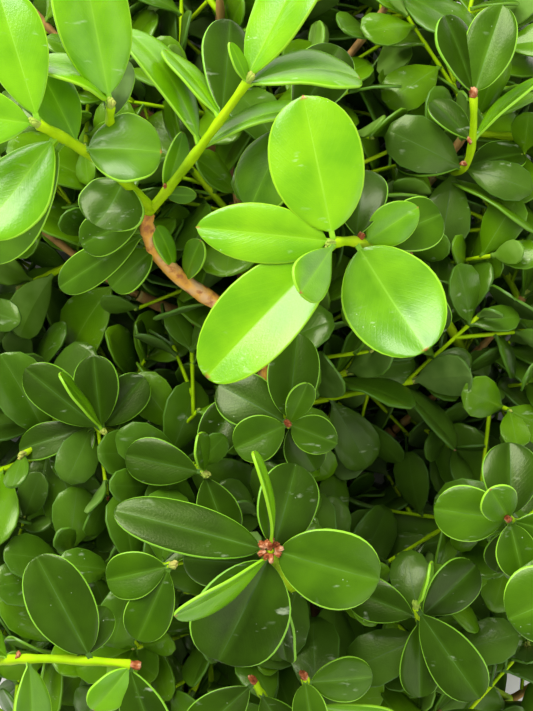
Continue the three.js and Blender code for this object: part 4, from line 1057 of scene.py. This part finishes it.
def build_leaves(branch, materials, nodes):
    """Joins the leaves by tint into pieces."""
    rng = np.random.default_rng(SEED)
    for tint in TINTS:
        piles, triangles = [Pile()], 0
        for detail in DETAIL:
            leaves = [leaf for leaf in branch.leaves if leaf.tint == tint and leaf.detail == detail]
            for start in range(0, len(leaves), LEAVES_AT_ONCE):
                triangles += add_leaves(piles[-1], leaves[start:start + LEAVES_AT_ONCE], detail, rng)
                if triangles > MOST_TRIANGLES:
                    piles.append(Pile())
                    triangles = 0
        for number, pile in enumerate(piles, 1):
            if pile.count:
                pile.build(f"leaves_{tint}_{number}", materials[tint], "foliage", nodes)


# The shares of the sprays that have each tint, in the lower part of the branch and towards its tip, up the
# picture. The lighter tints up the picture and the darker ones below are painted light and painted shade.
TINT_SHARES = {"shaded": (0.44, 0.3), "deep": (0.34, 0.08), "leafy": (0.22, 0.62)}
PAINTED_LIGHT_FROM = 10  # up the picture
PAINTED_LIGHT_OVER = 45


def deal_tints(branch):
    """Deals a tint to each leaf by the rule, by spray, and says how finely each leaf is made."""
    rng = np.random.default_rng(SEED + 1)
    sprays = {}
    for leaf in branch.leaves:
        if leaf.tint:
            leaf.detail = "seen"
            continue
        finer = leaf.shoot.name.startswith("fine") or leaf.shoot.name in SEEN_SHOOTS
        leaf.detail = "fine" if finer else "ruled"
        if leaf.shoot.number not in sprays:
            # Sprays higher up the picture get lighter tints and lower ones darker: painted light and painted
            # shade
            painted_light = np.clip((leaf.base[1] - PAINTED_LIGHT_FROM) / PAINTED_LIGHT_OVER, 0, 1)
            shares = [mix(*ends, painted_light) for ends in TINT_SHARES.values()]
            sprays[leaf.shoot.number] = rng.choice(list(TINT_SHARES), p=shares)
        leaf.tint = str(sprays[leaf.shoot.number])


# Twigs

def ring_points(curve, t, radius, sides, lobes=0.0):
    """A ring round a curve; lobes gives a young stem its four soft corners."""
    _, side, up = curve.frame(t)
    angles = np.arange(sides) * 2 * math.pi / sides
    out = radius * (1 + lobes * np.cos(4 * angles))[:, None]
    return curve.at(t) + out * (np.outer(np.cos(angles), side) + np.outer(np.sin(angles), up))


def ring_grid(count, sides):
    """The numbers of the points in some rings, and of each point's neighbour round its ring."""
    grid = np.arange(count * sides).reshape(count, sides)
    return grid, np.roll(grid, -1, axis=1)


def tube(pile, rings, tip=None):
    """Adds a closed tube through rings of points, with a pointed or flat end."""
    count, sides = len(rings), len(rings[0])
    grid, turned = ring_grid(count, sides)
    quads = np.stack([grid[:-1], turned[:-1], turned[1:], grid[1:]], axis=-1).reshape(-1, 4)
    ends = np.array([rings[0].mean(axis=0), rings[-1].mean(axis=0) if tip is None else tip])
    first, last = count * sides, count * sides + 1
    cap = np.stack([turned[0], grid[0], np.full(sides, first)], axis=1)
    end = np.stack([grid[-1], turned[-1], np.full(sides, last)], axis=1)
    around = np.tile(np.arange(sides) / sides, count)
    along = np.repeat(np.arange(count) / count, sides)
    uvs = np.concatenate([np.stack([around, along], axis=1), [(0.5, 0), (0.5, 1)]])
    pile.add(np.concatenate([*rings, ends]), [quads, np.concatenate([cap, end])], [0, 0], uvs)


THICK_TWIG = {"from": 0.7, "sides": 12}
THIN_TWIG_SIDES = 8
TWIG_LOBES = 0.1
# The share of the clearance tests' radius that a twig has: woody, seen by the camera, or any other
TWIG_SLIM = {"woody": 0.95, "seen": 0.8, "other": 0.66}
RING_STEP = 2.2
FEWEST_STEPS = 4
NODE_SWELL = 0.28
NODE_REACH = 1.1  # how far a swelling reaches along the twig
END_RING = 0.45  # of the last ring's size
WOODY_TWIGS = ("woody_root", "woody_fork")


def add_twig(pile, twig):
    """A young stem, four-cornered, a little swollen where its leaves stand and closed by a blunt end."""
    places = sorted({round(leaf_t, 3) for leaf_t in twig.leaf_places})
    steps = max(FEWEST_STEPS, round(twig.length / RING_STEP))
    sides = THICK_TWIG["sides"] if twig.radii[0] > THICK_TWIG["from"] else THIN_TWIG_SIDES
    looks = "woody" if twig.name in WOODY_TWIGS else "seen" if twig.name in SEEN_SHOOTS else "other"
    rings = []
    for i in range(steps + 1):
        t = i / steps
        swell = sum(math.exp(-(((t - place) * twig.length / NODE_REACH) ** 2)) for place in places)
        radius = mix(*twig.radii, t) * TWIG_SLIM[looks] * (1 + NODE_SWELL * min(1, swell))
        rings.append(ring_points(twig.curve, t, radius, sides, TWIG_LOBES))
    end, onward = twig.curve.at(1), twig.curve.tangent(1) * twig.radii[1]
    rings.append(mix(end, rings[-1], END_RING) + onward / 2)
    tube(pile, rings, tip=end + onward)


def build_twigs(branch, materials, nodes):
    for leaf in branch.leaves:
        points = leaf.shoot.sampled[:, :3]
        nearest = np.linalg.norm(points - leaf.base, axis=1).argmin()
        leaf.shoot.leaf_places.append(nearest / (len(points) - 1))
    young, woody, stems = Pile(), Pile(), Pile()
    for twig in branch.shoots:
        add_twig(stems if twig.name == "stem" else woody if twig.name in WOODY_TWIGS else young, twig)
    young.build("young_twigs", [materials["young_twig"]], "foliage", nodes)
    woody.build("woody_twigs", [materials["woody_twig"]], "foliage", nodes)
    stems.build("mass_stems", [materials["young_bark"]], "foliage", nodes)


# Buds

# Small pairs of scales that close over a shoot's tip, as (length, pitch)
BUD_SCALES = ((1.5, 34), (1.5, 22), (1.4, 12), (1.2, 4))
SCALE_WIDTH = 0.5
SCALE_ARCH = -55
SCALE_OFF = 0.18  # how far a scale stands from the bud's axis
BUD_SIZE = 1.1
BUD_ABOVE = 0.3  # how far a bud's foot lies past the shoot's tip
# A finer twig's bud: the rings, as (share of its length, radius), its length, sides and lobes
PLAIN_BUD = {"rings": ((0, 0.36), (0.3, 0.46), (0.7, 0.3)), "length": 1.2, "sides": 8, "lobes": 0.12}
PLAIN_BUD_SIZE = 0.75
RED_BUDS = (
    "dark_rosette", "centre_rosette", "right_rosette", "upper_right_shoot", "low_left_bud", "low_right_bud",
    "bottom_left_shoot",
)
RED_SHARE = 0.2  # of the other shoots' buds
# Red-brown buds beside a seen shoot, as (shoot, place, heading, lean, size)
SIDE_BUDS = (
    ("lime_rosette", 0.84, 60, 70, 0.8), ("upper_right_shoot", 0.72, 150, 40, 0.7),
    ("upper_right_shoot", 0.5, 190, 45, 0.8), ("tall_shoot", 0.3, 150, 45, 0.45),
    ("curled_shoot", 0.3, 250, 60, 0.7), ("bottom_left_shoot", 0.75, 80, 60, 0.7),
)
SIDE_BUD_OFF = 0.5  # from the shoot's axis
# The red-brown buds in the heart of the dark rosette, as (heading, lean, size)
ROSETTE_BUDS = (
    (150, 50, 0.8), (5, 62, 0.75), (275, 60, 0.8), (205, 70, 0.7), (330, 75, 0.6), (80, 66, 0.6),
    (240, 40, 0.6), (40, 35, 0.55), (115, 30, 0.5),
)
ROSETTE_BUD_OFF = (1.1, 0.5)  # from the rosette's tip, aside and up


def bud_scales(base, axis, size, spin):
    """The scales of one bud."""
    side = unit(cross(axis, AHEAD if abs(axis[2]) > STEEP else UP))
    up = cross(side, axis)
    scales = []
    for rank, (length, pitch) in enumerate(BUD_SCALES):
        for half in (0, 1):
            around = spin + rank * math.pi / 2 + half * math.pi
            out = side * math.cos(around) + up * math.sin(around)
            lean = math.radians(pitch)
            heading = axis * math.cos(lean) + out * math.sin(lean)
            inward = axis * math.sin(lean) - out * math.cos(lean)
            foot, long = base + out * SCALE_OFF * size, length * size
            scale = Leaf(foot, heading, inward, long, long * SCALE_WIDTH, SCALE_ARCH, RULED_RIM, ROUND_SHAPE)
            scales.append(scale)
    return scales


def add_plain_bud(pile, foot, axis, size):
    """A finer twig's bud: a small four-cornered point."""
    sides, lobes = PLAIN_BUD["sides"], PLAIN_BUD["lobes"]
    curve = Curve(*(foot + axis * size * PLAIN_BUD["length"] * share for share in (0, 0.5, 1)))
    rings = [ring_points(curve, t, size * radius, sides, lobes) for t, radius in PLAIN_BUD["rings"]]
    tube(pile, rings, tip=curve.at(1))


def leaning(heading, lean):
    """A direction that leans from the upright towards a heading."""
    turn, tilt = math.radians(heading), math.radians(lean)
    return np.array((math.cos(turn) * math.sin(tilt), math.sin(turn) * math.sin(tilt), math.cos(tilt)))


def rosette_scales(tip):
    """The scales of the buds in the heart of the dark rosette."""
    aside, above = ROSETTE_BUD_OFF
    scales = []
    for heading, lean, size in ROSETTE_BUDS:
        foot = tip + leaning(heading, 90) * aside + UP * above
        scales.extend(bud_scales(foot, leaning(heading, lean), size, heading))
    return scales


def build_buds(branch, materials, nodes):
    rng = np.random.default_rng(SEED + 2)
    red, green = ([], Pile()), ([], Pile())
    named = {shoot.name: shoot for shoot in branch.shoots if shoot.name in SEEN_SHOOTS}
    for name, place, heading, lean, size in SIDE_BUDS:
        way = leaning(heading, lean)
        red[0].extend(bud_scales(named[name].curve.at(place) + way * SIDE_BUD_OFF, way, size, heading))
    for shoot in branch.shoots:
        if shoot.name == "dark_rosette":
            red[0].extend(rosette_scales(shoot.curve.at(1)))
        chance = rng.random() < RED_SHARE and shoot.name not in SEEN_SHOOTS
        if shoot.name in WOODY_TWIGS:
            continue
        axis = shoot.curve.tangent(1)
        foot = shoot.curve.at(1) + axis * BUD_ABOVE
        scales, pile = red if shoot.name in RED_BUDS or chance else green
        if shoot.name.startswith("fine"):
            add_plain_bud(pile, foot, axis, PLAIN_BUD_SIZE)
        else:
            scales.extend(bud_scales(foot, axis, BUD_SIZE, (shoot.spin or 0) + math.pi / 4))
    for name, (scales, pile) in (("red", red), ("green", green)):
        add_leaves(pile, scales, "scale", rng)
        pile.build(f"buds_{name}", [materials[f"bud_{name}"]] * 4, "foliage", nodes)


# Bark

# The relief's three layers, with their heights in shares of a limb's radius and how coarse they are
RIDGES = {"height": 0.045, "around": 2.2, "along": 0.09, "scale": 1.7}
FLAKES = {"height": 0.035, "around": 1.3, "along": 0.16, "shift": 7, "over": 0.12}
GRAIN = {"height": 0.02, "scale": 1.9}
LIMB_STEP = 0.6  # from ring to ring
STEM_SIDES = 56
BOUGH_SIDES = 24
SLANT_REACH = 3  # how many radii along the stem its slanted cut is felt


def fissures(point, angle, along):
    """How far bark stands out at a place of a limb, in shares of its radius."""
    across, up = math.cos(angle), math.sin(angle)
    wide, fine = RIDGES["around"], FLAKES["around"]
    ridged = noise.noise(Vector((across * wide, up * wide, along * RIDGES["along"])) * RIDGES["scale"])
    flaked = noise.noise(Vector((across * fine, up * fine, along * FLAKES["along"] + FLAKES["shift"])))
    grained = noise.noise(Vector(point) * GRAIN["scale"])
    ridges = RIDGES["height"] * (1 - abs(ridged) * 2)
    return ridges + FLAKES["height"] * (flaked > FLAKES["over"]) + GRAIN["height"] * grained


def add_limb(pile, limb, sides, slant=0.0):
    """A limb with its bark's relief. slant leans its root face."""
    steps = round(limb.length / LIMB_STEP)
    angles = np.arange(sides) * 2 * math.pi / sides
    rings = []
    for i in range(steps + 1):
        t = i / steps
        axis, side, up = limb.curve.frame(t)
        radius = limb.taper(t)
        centre = limb.curve.at(t)
        lean = slant * radius * max(0, 1 - t * limb.length / (SLANT_REACH * radius))
        ring = []
        for angle in angles:
            out = side * math.cos(angle) + up * math.sin(angle)
            point = centre + out * radius + axis * lean * math.cos(angle)
            ring.append(point + out * radius * fissures(point, angle, t * limb.length))
        rings.append(np.array(ring))
    tube(pile, rings)
    return rings


def build_bark(branch, materials):
    stem, *boughs = branch.limbs
    pile = Pile()
    rings = add_limb(pile, stem, STEM_SIDES, CUT_SLANT)
    pile.build("main_stem_bark", [materials["bark"]], "woody_stem", ["main_stem"])
    pile = Pile()
    for bough in boughs:
        add_limb(pile, bough, BOUGH_SIDES)
    pile.build("bough_bark", [materials["young_bark"]], "young_wood", [bough.name for bough in boughs])
    build_cut(rings[0], stem, materials)


# The cut face: its rings from the sunk edge inwards, as shares of its radius
CUT_RINGS = (1.0, 1.0, 0.97, 0.9, 0.8, 0.68, 0.55, 0.42, 0.3, 0.18, 0.08)
CUT_WITHIN = 0.93  # of the bark's radius
CUT_SUNK = 0.3
CUT_PROUD = 0.06


def build_cut(rim, stem, materials):
    """The cut face: a shallow disc of pale wood inside the bark, a hair proud of the stem's own end."""
    axis = stem.curve.tangent(0)
    middle = rim.mean(axis=0)
    depths = (CUT_SUNK, 0, *[-CUT_PROUD] * (len(CUT_RINGS) - 2))
    disc = (rim - middle) * CUT_WITHIN
    rings = [middle + disc * share + axis * depth for share, depth in zip(CUT_RINGS, depths)]
    pile = Pile()
    count, sides = len(rings), len(rim)
    grid, turned = ring_grid(count, sides)
    quads = np.stack([grid[:-1], grid[1:], turned[1:], turned[:-1]], axis=-1).reshape(-1, 4)
    last = np.stack([turned[-1], grid[-1], np.full(sides, count * sides)], axis=1)
    flat = np.concatenate([*rings, [middle - axis * CUT_PROUD]])
    shares = np.concatenate([np.repeat(CUT_RINGS, sides), [0]])
    uvs = np.stack([shares, np.zeros(len(shares))], axis=1)
    pile.add(flat, [quads, last], [0, 0], uvs)
    pile.build("cut_face", [materials["cut_wood"]], "woody_stem", [])


# Materials

def grey(share):
    return (share, share, share, 1)


def linear(colour):
    """A colour given in the usual 0 to 255 steps, as linear light."""
    shares = np.array(colour) / 255
    light = np.where(shares <= 0.04045, shares / 12.92, ((shares + 0.055) / 1.055) ** 2.4)
    return (*light, 1.0)


class Nodes:
    """A material's node tree, with short ways to add and join nodes."""

    def __init__(self, name, roughness, specular=0.5, coat=0.0, coat_roughness=0.2):
        self.material = bpy.data.materials.new(name)
        self.material.use_nodes = True
        self.tree = self.material.node_tree
        self.shader = self.tree.nodes["Principled BSDF"]
        self.shader.inputs["Roughness"].default_value = roughness
        self.shader.inputs["Specular IOR Level"].default_value = specular
        self.shader.inputs["Coat Weight"].default_value = coat
        self.shader.inputs["Coat Roughness"].default_value = coat_roughness

    def add(self, kind, values=None, **settings):
        node = self.tree.nodes.new(kind)
        for key, value in settings.items():
            setattr(node, key, value)
        for key, value in (values or {}).items():
            self.put(value, node.inputs[key])
        return node

    def put(self, value, socket):
        """Sets a socket to a value, or joins it to another node's output."""
        if isinstance(value, bpy.types.NodeSocket):
            self.tree.links.new(value, socket)
        else:
            socket.default_value = value

    def math(self, operation, first, second=0.0):
        return self.add("ShaderNodeMath", {0: first, 1: second}, operation=operation).outputs[0]

    def place(self):
        return self.add("ShaderNodeTexCoord").outputs["Object"]

    def stretched(self, *scales):
        return self.add("ShaderNodeMapping", {"Vector": self.place(), "Scale": scales}).outputs[0]

    def uv(self):
        """The UV's two numbers, which run across and along."""
        uv_map = self.add("ShaderNodeUVMap", uv_map="UVMap").outputs[0]
        return self.add("ShaderNodeSeparateXYZ", {0: uv_map}).outputs[:2]

    def noise(self, scale, detail=3.0, vector=None):
        values = {"Vector": vector or self.place(), "Scale": scale, "Detail": detail}
        return self.add("ShaderNodeTexNoise", values).outputs[0]

    def ramp(self, fac, *stops):
        ramp = self.add("ShaderNodeValToRGB", {"Fac": fac})
        elements = ramp.color_ramp.elements
        while len(elements) < len(stops):
            elements.new(0.5)
        for element, (place, colour) in zip(elements, stops):
            element.position = place
            element.color = colour
        return ramp.outputs[0]

    def rise(self, fac, start, end, most=1):
        """A share that rises from nothing at start to its most at end."""
        return self.ramp(fac, (start, grey(0)), (end, grey(most)))

    def fall(self, fac, start, end, most=1):
        return self.ramp(fac, (start, grey(most)), (end, grey(0)))

    def shades(self, fac, places, colours):
        """A ramp through colours given in the usual 0 to 255 steps."""
        return self.ramp(fac, *((place, linear(colour)) for place, colour in zip(places, colours)))

    def mix_colour(self, fac, first, second):
        mixer = self.add("ShaderNodeMix", data_type="RGBA")
        for number, value in ((0, fac), (6, first), (7, second)):
            self.put(value, mixer.inputs[number])
        return mixer.outputs[2]

    def colour(self, value):
        self.put(value, self.shader.inputs["Base Color"])

    def tip(self, colour, along, aside):
        """The colour with a small brown point at the very tip of a leaf."""
        near = self.math("MULTIPLY", self.rise(along, 0.972, 0.992), self.fall(aside, 0.08, 0.2))
        return self.mix_colour(near, colour, linear(TIP_BROWN))

    def speck_and_sheen(self, colour):
        """The colour with tiny pale specks and short pale streaks, more in some places than in others; the
        streaks are partly scratches and partly painted highlight smears.
        """
        spots = self.add("ShaderNodeTexVoronoi", {"Vector": self.place(), "Scale": 700}).outputs["Distance"]
        near = self.fall(spots, 0.04, 0.09)
        some = self.rise(self.noise(150, 2), 0.56, 0.64, 0.5)
        # Short pale streaks: partly scratches, partly painted highlight smears
        scratch_and_sheen = self.rise(self.noise(1.0, 3, self.stretched(330, 900, 330)), 0.6, 0.72, 0.6)
        marks = self.math("MULTIPLY", self.math("MAXIMUM", near, scratch_and_sheen), some)
        return self.mix_colour(marks, colour, linear(PALE_SPECK_AND_SHEEN))

    def bump(self, height, strength, distance, normal=None):
        values = {"Height": height, "Strength": strength, "Distance": distance}
        if normal:
            values["Normal"] = normal
        output = self.add("ShaderNodeBump", values).outputs[0]
        self.tree.links.new(output, self.shader.inputs["Normal"])
        return output


VEINS = 15  # side veins along a leaf's half
VEIN_SLOPE = 0.42
TIPPED = ("lime", "bright", "fresh", "green")  # the tints whose leaves have a brown tip
TIP_BROWN = (150, 100, 44)
# The pale colour of the specks and of the streaks, which are partly painted highlight
PALE_SPECK_AND_SHEEN = (214, 226, 190)
# The colour that the gloss of young and of older leaves takes on
YOUNG_GLOSS = (1, 1, 0.85, 1)
OLD_GLOSS = (0.85, 1, 0.4, 1)
# For each tint: the blade's two greens, its rim, midrib and underside, its roughness and coat. The first six
# are for the seen leaves, and the rule deals out the others. The rim's green is the margin's own paler green,
# brightened on the seen leaves into a painted glow of light through the thin edge.
TINTS = {
    "lime": ((92, 150, 0), (114, 168, 0), (132, 182, 8), (124, 178, 2), (130, 184, 16), 0.28, 0.2),
    "bright": ((84, 142, 0), (108, 166, 0), (132, 186, 20), (118, 174, 6), (122, 172, 20), 0.28, 0.22),
    "fresh": ((78, 132, 0), (104, 160, 0), (134, 188, 28), (118, 174, 14), (118, 164, 30), 0.31, 0.2),
    "green": ((62, 106, 0), (82, 128, 0), (136, 190, 36), (100, 150, 20), (110, 152, 44), 0.36, 0.18),
    "mid": ((48, 84, 0), (64, 104, 0), (132, 186, 40), (86, 130, 20), (104, 142, 48), 0.34, 0.18),
    "dark": ((34, 60, 0), (46, 78, 0), (116, 170, 36), (66, 104, 16), (98, 132, 48), 0.34, 0.18),
    # leafy, shaded and deep are lighter and darker copies of one green: painted light and painted shade
    "leafy": ((64, 106, 0), (84, 126, 4), (90, 134, 20), (86, 128, 18), (108, 146, 48), 0.3, 0.25),
    "shaded": ((54, 90, 8), (70, 108, 14), (74, 116, 22), (74, 112, 22), (98, 132, 48), 0.3, 0.25),
    "deep": ((52, 82, 14), (66, 100, 20), (66, 104, 24), (68, 102, 24), (92, 124, 46), 0.32, 0.2),
}


def leaf_blade(name, dark, light, midrib, roughness, coat, tipped):
    """A blade's upper side: two near greens in soft patches, paler towards the midrib, with side
    veins, a few pale marks and a fine leathery grain, and perhaps a brown tip."""
    nodes = Nodes(name, roughness, 0.4, coat, 0.18)
    nodes.shader.inputs["Specular Tint"].default_value = YOUNG_GLOSS if tipped else OLD_GLOSS
    patches = nodes.ramp(nodes.noise(130, 3), (0.35, dark), (0.65, light))
    across, along = nodes.uv()
    aside = nodes.math("ABSOLUTE", nodes.math("SUBTRACT", across, 0.5))
    place = nodes.math("SUBTRACT", along, nodes.math("MULTIPLY", aside, 2 * VEIN_SLOPE))
    wave = nodes.math("SINE", nodes.math("MULTIPLY", place, 2 * math.pi * VEINS))
    vein = nodes.math("POWER", nodes.math("MAXIMUM", wave, 0.0), 6.0)
    veined = nodes.mix_colour(nodes.math("MULTIPLY", vein, 0.12), patches, light)
    near = nodes.fall(aside, 0.0, 0.09, 0.5)
    ribbed = nodes.mix_colour(near, veined, midrib)
    nodes.colour(nodes.speck_and_sheen(nodes.tip(ribbed, along, aside) if tipped else ribbed))
    first = nodes.bump(vein, 0.12, 0.00006)
    nodes.bump(nodes.noise(2600, 3), 0.32, 0.0001, first)
    return nodes.material


def leaf_edge(name, dark, light, roughness):
    """A leaf's pale rim, midrib or stalk."""
    nodes = Nodes(name, roughness, 0.4)
    nodes.colour(nodes.ramp(nodes.noise(260, 2), (0.3, dark), (0.7, light)))
    nodes.bump(nodes.noise(2200, 2), 0.1, 0.00005)
    return nodes.material


def leaf_materials():
    """For each tint, its materials in the order of a leaf's kinds of face."""
    found = {}
    for tint, (*greens, roughness, coat) in TINTS.items():
        dark, light, rim, midrib, underside = (linear(green) for green in greens)
        found[tint] = [
            leaf_blade(f"leaf_blade_{tint}", dark, light, midrib, roughness, coat, tint in TIPPED),
            # The rim's pale green is the margin's own colour together with a painted glow of light through the
            # edge
            leaf_edge(f"leaf_rim_and_glow_{tint}", rim, rim, 0.4),
            leaf_edge(f"leaf_midrib_{tint}", light, midrib, 0.45),
            leaf_edge(f"leaf_underside_{tint}", light, underside, 0.6),
        ]
    return found


def bark_material(name, scale, *colours):
    """Bark: long fibres under thin flakes, in three browns."""
    nodes = Nodes(name, 0.85, 0.25)
    fibres = nodes.noise(1.0, 6, nodes.stretched(scale, scale * 0.35, scale))
    base = nodes.shades(fibres, (0.32, 0.52, 0.7), colours)
    patches = nodes.rise(nodes.noise(scale * 0.3, 3), 0.45, 0.6)
    nodes.colour(nodes.mix_colour(patches, base, linear(colours[1])))
    nodes.bump(fibres, 0.5, 0.0002)
    return nodes.material


def twig_material(name, roughness, scale, *colours):
    nodes = Nodes(name, roughness, 0.18)
    nodes.shader.inputs["Specular Tint"].default_value = OLD_GLOSS
    nodes.colour(nodes.shades(nodes.noise(scale, 3), (0.32, 0.5, 0.66), colours))
    nodes.bump(nodes.noise(1400, 2), 0.2, 0.0001)
    return nodes.material


def peeling_bark():
    """The young wood's thin bark: tan and orange where it is new, red-brown where it peels."""
    nodes = Nodes("woody_twig", 0.7, 0.3)
    strips = nodes.noise(260, 5)
    fresh = nodes.shades(strips, (0.35, 0.52, 0.68), ((186, 128, 52), (222, 164, 60), (208, 170, 120)))
    peeled = nodes.rise(nodes.noise(620, 4), 0.52, 0.66)
    nodes.colour(nodes.mix_colour(peeled, fresh, linear((166, 100, 54))))
    nodes.bump(strips, 0.6, 0.0003)
    return nodes.material


def cut_wood():
    """Pale wood with fine growth rings round the pith. The UV's first number is how far out it lies."""
    nodes = Nodes("cut_wood", 0.7, 0.3)
    rings = nodes.math("SINE", nodes.math("MULTIPLY", nodes.uv()[0], 44.0))
    shade = nodes.math("ADD", nodes.math("MULTIPLY", rings, 0.18), nodes.noise(900, 4))
    nodes.colour(nodes.shades(shade, (0.3, 0.65), ((196, 168, 104), (226, 206, 150))))
    nodes.bump(shade, 0.4, 0.00012)
    return nodes.material


def other_materials():
    made = [
        twig_material("young_twig", 0.6, 180, (124, 164, 0), (146, 186, 0), (160, 192, 16)),
        peeling_bark(),
        twig_material("bud_red", 0.5, 700, (96, 40, 18), (146, 80, 44), (204, 156, 118)),
        twig_material("bud_green", 0.5, 180, (96, 122, 40), (140, 164, 60), (176, 168, 88)),
        bark_material("bark", 420, (92, 66, 40), (150, 112, 70), (186, 150, 104)),
        bark_material("young_bark", 560, (108, 82, 42), (158, 122, 62), (150, 146, 78)),
        cut_wood(),
    ]
    return {material.name: material for material in made}


# Stage, lights and camera, in metres

FLOOR_HALF = 1.5
LIGHTS_AIM = (0, 0, 0.06)


def build_floor():
    mesh = bpy.data.meshes.new("floor")
    corners = [(x * FLOOR_HALF, y * FLOOR_HALF, 0) for x, y in ((-1, -1), (1, -1), (1, 1), (-1, 1))]
    mesh.from_pydata(corners, [], [(0, 1, 2, 3)])
    nodes = Nodes("floor", 0.9, 0.2)
    nodes.colour(nodes.shades(nodes.noise(9, 3), (0.3, 0.7), ((214, 212, 206), (222, 220, 215))))
    mesh.materials.append(nodes.material)
    floor = bpy.data.objects.new("floor", mesh)
    bpy.context.scene.collection.objects.link(floor)


def add_light(name, place, size, watts, colour):
    light = bpy.data.lights.new(name, "AREA")
    light.size = size
    light.energy = watts
    light.color = colour
    lamp = bpy.data.objects.new(name, light)
    lamp.location = place
    lamp.rotation_euler = (Vector(LIGHTS_AIM) - Vector(place)).to_track_quat("-Z", "Y").to_euler()
    bpy.context.scene.collection.objects.link(lamp)


def build_lights():
    """A big soft light from the picture's top, a weaker one across from it, and a dim sky."""
    add_light("key", (-0.25, 0.46, 0.46), 0.45, 7.2, (0.99, 0.99, 1))
    add_light("fill", (0.45, -0.3, 0.5), 0.6, 1.4, (0.96, 0.98, 1))
    world = bpy.data.worlds.new("sky")
    world.use_nodes = True
    background = world.node_tree.nodes["Background"]
    background.inputs["Color"].default_value = grey(1)
    background.inputs["Strength"].default_value = 1.2
    world.cycles_visibility.glossy = False
    bpy.context.scene.world = world
    bpy.context.scene.view_settings.view_transform = "Standard"


def build_camera():
    """The camera straight above the middle of the view."""
    data = bpy.data.cameras.new("camera")
    data.sensor_width = SENSOR
    data.lens = SENSOR * VIEW_DISTANCE / PICTURE_TALL
    data.clip_start = 0.01
    camera = bpy.data.objects.new("camera", data)
    camera.location = (SHIFT + (0, 0, VIEW_DISTANCE + PICTURE_HEIGHT)) * MM
    bpy.context.scene.collection.objects.link(camera)
    bpy.context.scene.camera = camera


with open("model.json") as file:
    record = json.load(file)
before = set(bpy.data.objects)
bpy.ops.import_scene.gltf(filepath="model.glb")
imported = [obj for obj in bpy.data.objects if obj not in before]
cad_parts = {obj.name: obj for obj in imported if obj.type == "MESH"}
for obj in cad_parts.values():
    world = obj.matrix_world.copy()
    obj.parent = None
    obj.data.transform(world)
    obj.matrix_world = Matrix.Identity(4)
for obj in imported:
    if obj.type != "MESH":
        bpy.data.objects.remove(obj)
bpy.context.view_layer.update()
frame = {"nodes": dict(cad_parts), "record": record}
cut_end = next(mount for mount in frame["record"]["mounts"] if mount["name"] == "cut_end")
SHIFT = np.array(cut_end["pos_m"]) / MM - STEM_POINTS[0]

branch = Branch()
branch.grow_finer()
deal_tints(branch)
foliage = sorted(node for node in frame["nodes"] if node.startswith("foliage"))
materials = other_materials()
build_leaves(branch, leaf_materials(), foliage)
build_twigs(branch, materials, foliage)
build_buds(branch, materials, foliage)
build_bark(branch, materials)
build_floor()
build_lights()
build_camera()
